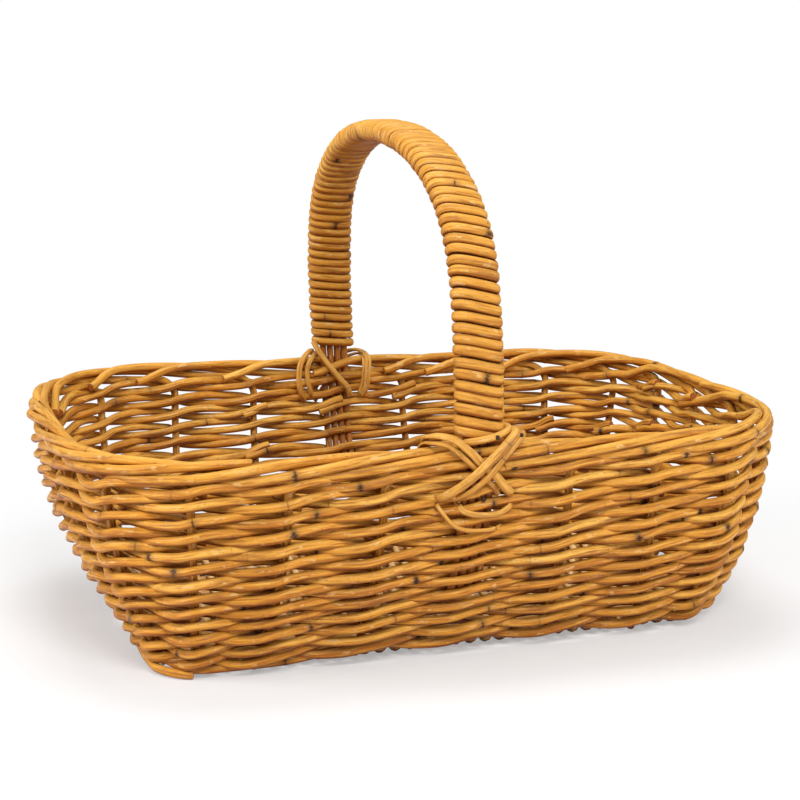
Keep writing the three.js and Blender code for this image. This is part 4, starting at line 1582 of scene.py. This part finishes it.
@dataclass
class Lashings:
    """At each foot of the handle, two groups of flattened canes that cross on the outer face.

    The nails stand at the front foot only, at points in the foot's own measure.
    """

    hub_below_rim: float = 2.0
    nail_radius: float = 1.5
    nail_sides: int = 16
    nail_ends: tuple[float, float] = (-6.2, 0.5)
    nails: Knots = ((6.5, 14.4, 11.0), (22.6, 14.4, 9.6), (0.6, -24.4, 8.4))
    rng: np.random.Generator = field(default_factory=lambda: np.random.default_rng(12))

    def placed(self, side: Side, knots: Array) -> Array:
        """Turns points in a foot's own measure into points of the frame.

        Args:
            side: The long side of the basket.
            knots: Rows of right, up and out.

        Returns:
            Points, one row each.
        """
        place = np.full(len(knots), float(side.value))
        down = np.minimum(knots[:, 1], 0.0)
        along, _, _ = WALL.directions(place, WALL.rim(place))
        points, _, _ = WALL.offset(place, WALL.full_run + down, knots[:, 2],
                                   np.maximum(knots[:, 1], 0.0))
        return points + along * knots[:, :1]

    def flat_side(self, side: Side, path: Array) -> Array:
        """The direction that a tie's thin side faces: away from the middle of the border.

        Args:
            side: The long side of the basket.
            path: The tie's points.

        Returns:
            Directions, one row each.
        """
        away = path - WALL.point(float(side.value), WALL.full_run - self.hub_below_rim)
        away[:, 0] = 0.0
        away[:, 2] = np.maximum(away[:, 2], 0.0)
        return unit(away + 1e-6)

    def build(self) -> None:
        """Makes the ties of both feet, and the nails that hold them."""
        # The edges of the ties get dirt and painted shade where they touch.
        cut = CaneCut(sides=14, ring_step=1.5, node_spacing=(150.0, 400.0), node_swell=0.02,
                      squareness=2.5, seam=0.3, tint_range=(0.45, 1.0))
        for side, groups in TIES.items():
            end = side.name.lower()
            for letter, group in zip("ab", groups):
                bundle = CaneBundle(self.rng)
                for tie in group:
                    path = eased_curve(self.placed(side, np.array(tie.knots)), 1.0)
                    bundle.add(path, self.flat_side(side, path), tie.breadth / 2.0,
                               tie.thickness / 2.0, cut)
                bundle.build(f"lashing_cane_{end}_{letter}", LASHING, f"lashing_{end}_{letter}")
        self.nail_heads()

    def nail_heads(self) -> None:
        """Makes the nails of the front foot, each a domed head on a pin, turned from a profile."""
        heads = self.placed(Side.FRONT, np.array(self.nails))
        out = WALL.directions(np.array([float(Side.FRONT.value)]), np.array([WALL.full_run]))[2][0]
        turn = np.linspace(0.0, 2.0 * np.pi, self.nail_sides, endpoint=False)
        profile = np.array(NAIL_PROFILE) * [self.nail_radius, 1.0]
        high = unit(np.cross(out, X_AXIS))
        circle = np.cos(turn)[:, None] * X_AXIS + np.sin(turn)[:, None] * high
        ring = profile[:, 0, None, None] * circle[None] + profile[:, 1, None, None] * out
        tips = np.array(self.nail_ends)[:, None] * out
        single = np.concatenate([ring.reshape(-1, 3), tips])
        quads, fans = tube_faces(len(profile), self.nail_sides)
        starts = (np.arange(len(heads)) * len(single))[:, None, None]
        piece = mesh_object("nails_front", (heads[:, None, :] + single).reshape(-1, 3) * MM,
                            (quads[:, [0, 3, 2, 1]] + starts).reshape(-1, 4),
                            (fans[:, [0, 2, 1]] + starts).reshape(-1, 3))
        piece.data.materials.append(nail_material())
        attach(piece, "root")
        log.info("%s: %d nails", piece.name, len(heads))


@dataclass(frozen=True)
class Lamp:
    """A square soft box that faces the basket: where it stands, its side and its watts."""

    name: str
    place: Triple
    size: float
    power: float

    def add(self, aim: Vector) -> None:
        """Adds the lamp.

        Args:
            aim: The point that it faces.
        """
        data = bpy.data.lights.new(self.name, "AREA")
        data.energy = self.power
        data.size = self.size
        lamp = bpy.data.objects.new(self.name, data)
        lamp.location = self.place
        lamp.rotation_euler = (Vector(self.place) - aim).to_track_quat("Z", "Y").to_euler()
        bpy.context.scene.collection.objects.link(lamp)


@dataclass
class Studio:
    """The floor, the lamps, the sky and the camera, in metres.

    The floor's white fades in between two distances, from a first share to a second.
    """

    target: Triple = (0.004, 0.0, 0.1446)
    azimuth: float = -18.5
    elevation: float = 10.97
    distance: float = 1.3
    lens: float = 84.51
    sensor: float = 36.0
    lamp_aim: Triple = (0.0, 0.0, 0.1)
    sky_strength: float = 0.27
    floor_half: float = 6.0
    floor_drop: float = 0.0002
    shadow_stretch: Triple = (1.0, 1.25, 1.0)
    fade: tuple[float, float, float, float] = (0.22, 0.62, 0.35, 1.0)
    lamps: tuple[Lamp, ...] = (
        Lamp("key", (-0.15, -1.7, 1.6), 0.8, 29.0), Lamp("fill", (1.8, -1.3, 0.9), 1.4, 16.5),
        Lamp("end", (-1.8, -0.1, 0.9), 0.9, 22.0), Lamp("top", (0.0, 0.2, 2.1), 0.9, 16.5))

    def camera(self) -> None:
        """Sets the camera where the photograph was taken from."""
        turn, tilt = math.radians(self.azimuth), math.radians(self.elevation)
        back = Vector((math.sin(turn) * math.cos(tilt), -math.cos(turn) * math.cos(tilt),
                       math.sin(tilt)))
        data = bpy.data.cameras.new("camera")
        data.lens = self.lens
        data.sensor_width = self.sensor
        camera = bpy.data.objects.new("camera", data)
        camera.location = Vector(self.target) + back * self.distance
        camera.rotation_euler = back.to_track_quat("Z", "Y").to_euler()
        bpy.context.scene.collection.objects.link(camera)
        bpy.context.scene.camera = camera

    def sky(self) -> None:
        """Sets a soft white world that the camera sees as plain white."""
        look = Shading(bpy.data.worlds.new("studio"))
        paths = look.node("ShaderNodeLightPath")
        seen = look.node("ShaderNodeBackground", {"Color": (1.0, 1.0, 1.0, 1.0),
                                                  "Strength": 1.0})
        lit = look.node("ShaderNodeBackground", {"Color": (1.0, 0.99, 0.97, 1.0),
                                                 "Strength": self.sky_strength})
        mixed = look.node("ShaderNodeMixShader", {0: paths.outputs["Is Camera Ray"],
                                                  1: lit.outputs[0], 2: seen.outputs[0]})
        look.node("ShaderNodeOutputWorld", {"Surface": mixed.outputs[0]})
        bpy.context.scene.world = look.owner

    def floor(self) -> None:
        """Lays a pale floor that keeps the shadow near the basket and is white far from it."""
        signs = np.array([[-1.0, -1.0], [1.0, -1.0], [1.0, 1.0], [-1.0, 1.0]])
        corners = np.column_stack([signs * self.floor_half, np.full(4, -self.floor_drop)])
        plane = mesh_object("floor", corners, np.array([[0, 1, 2, 3]]), np.zeros((0, 3), int))
        look = Shading(bpy.data.materials.new("pale floor"))
        paths = look.node("ShaderNodeLightPath")
        place = look.node("ShaderNodeTexCoord").outputs["Object"]
        squeezed = look.node("ShaderNodeVectorMath", {0: place, 1: self.shadow_stretch},
                             operation="MULTIPLY")
        away = look.node("ShaderNodeVectorMath", {0: squeezed.outputs[0]}, operation="LENGTH")
        share = look.spread(away.outputs["Value"], *self.fade)
        seen = look.math("MULTIPLY", share, paths.outputs["Is Camera Ray"])
        matt = look.node("ShaderNodeBsdfDiffuse", {"Color": (0.86, 0.86, 0.86, 1.0)})
        white = look.node("ShaderNodeEmission", {"Color": (1.0, 1.0, 1.0, 1.0),
                                                 "Strength": 1.0})
        mixed = look.node("ShaderNodeMixShader", {0: seen, 1: matt.outputs[0],
                                                  2: white.outputs[0]})
        look.node("ShaderNodeOutputMaterial", {"Surface": mixed.outputs[0]})
        plane.data.materials.append(look.owner)

    def build(self) -> None:
        """Sets up the whole studio."""
        bpy.context.scene.view_settings.view_transform = "Standard"
        self.camera()
        self.sky()
        self.floor()
        for lamp in self.lamps:
            lamp.add(Vector(self.lamp_aim))


def main() -> None:
    """Builds the studio and every piece of the basket, in order."""
    logging.basicConfig(level=logging.INFO, format="%(name)s: %(message)s")
    for part in (Studio(), Base(), Siding(), Border(), Handle(), Lashings()):
        part.build()


if __name__ == "__main__":
    main()
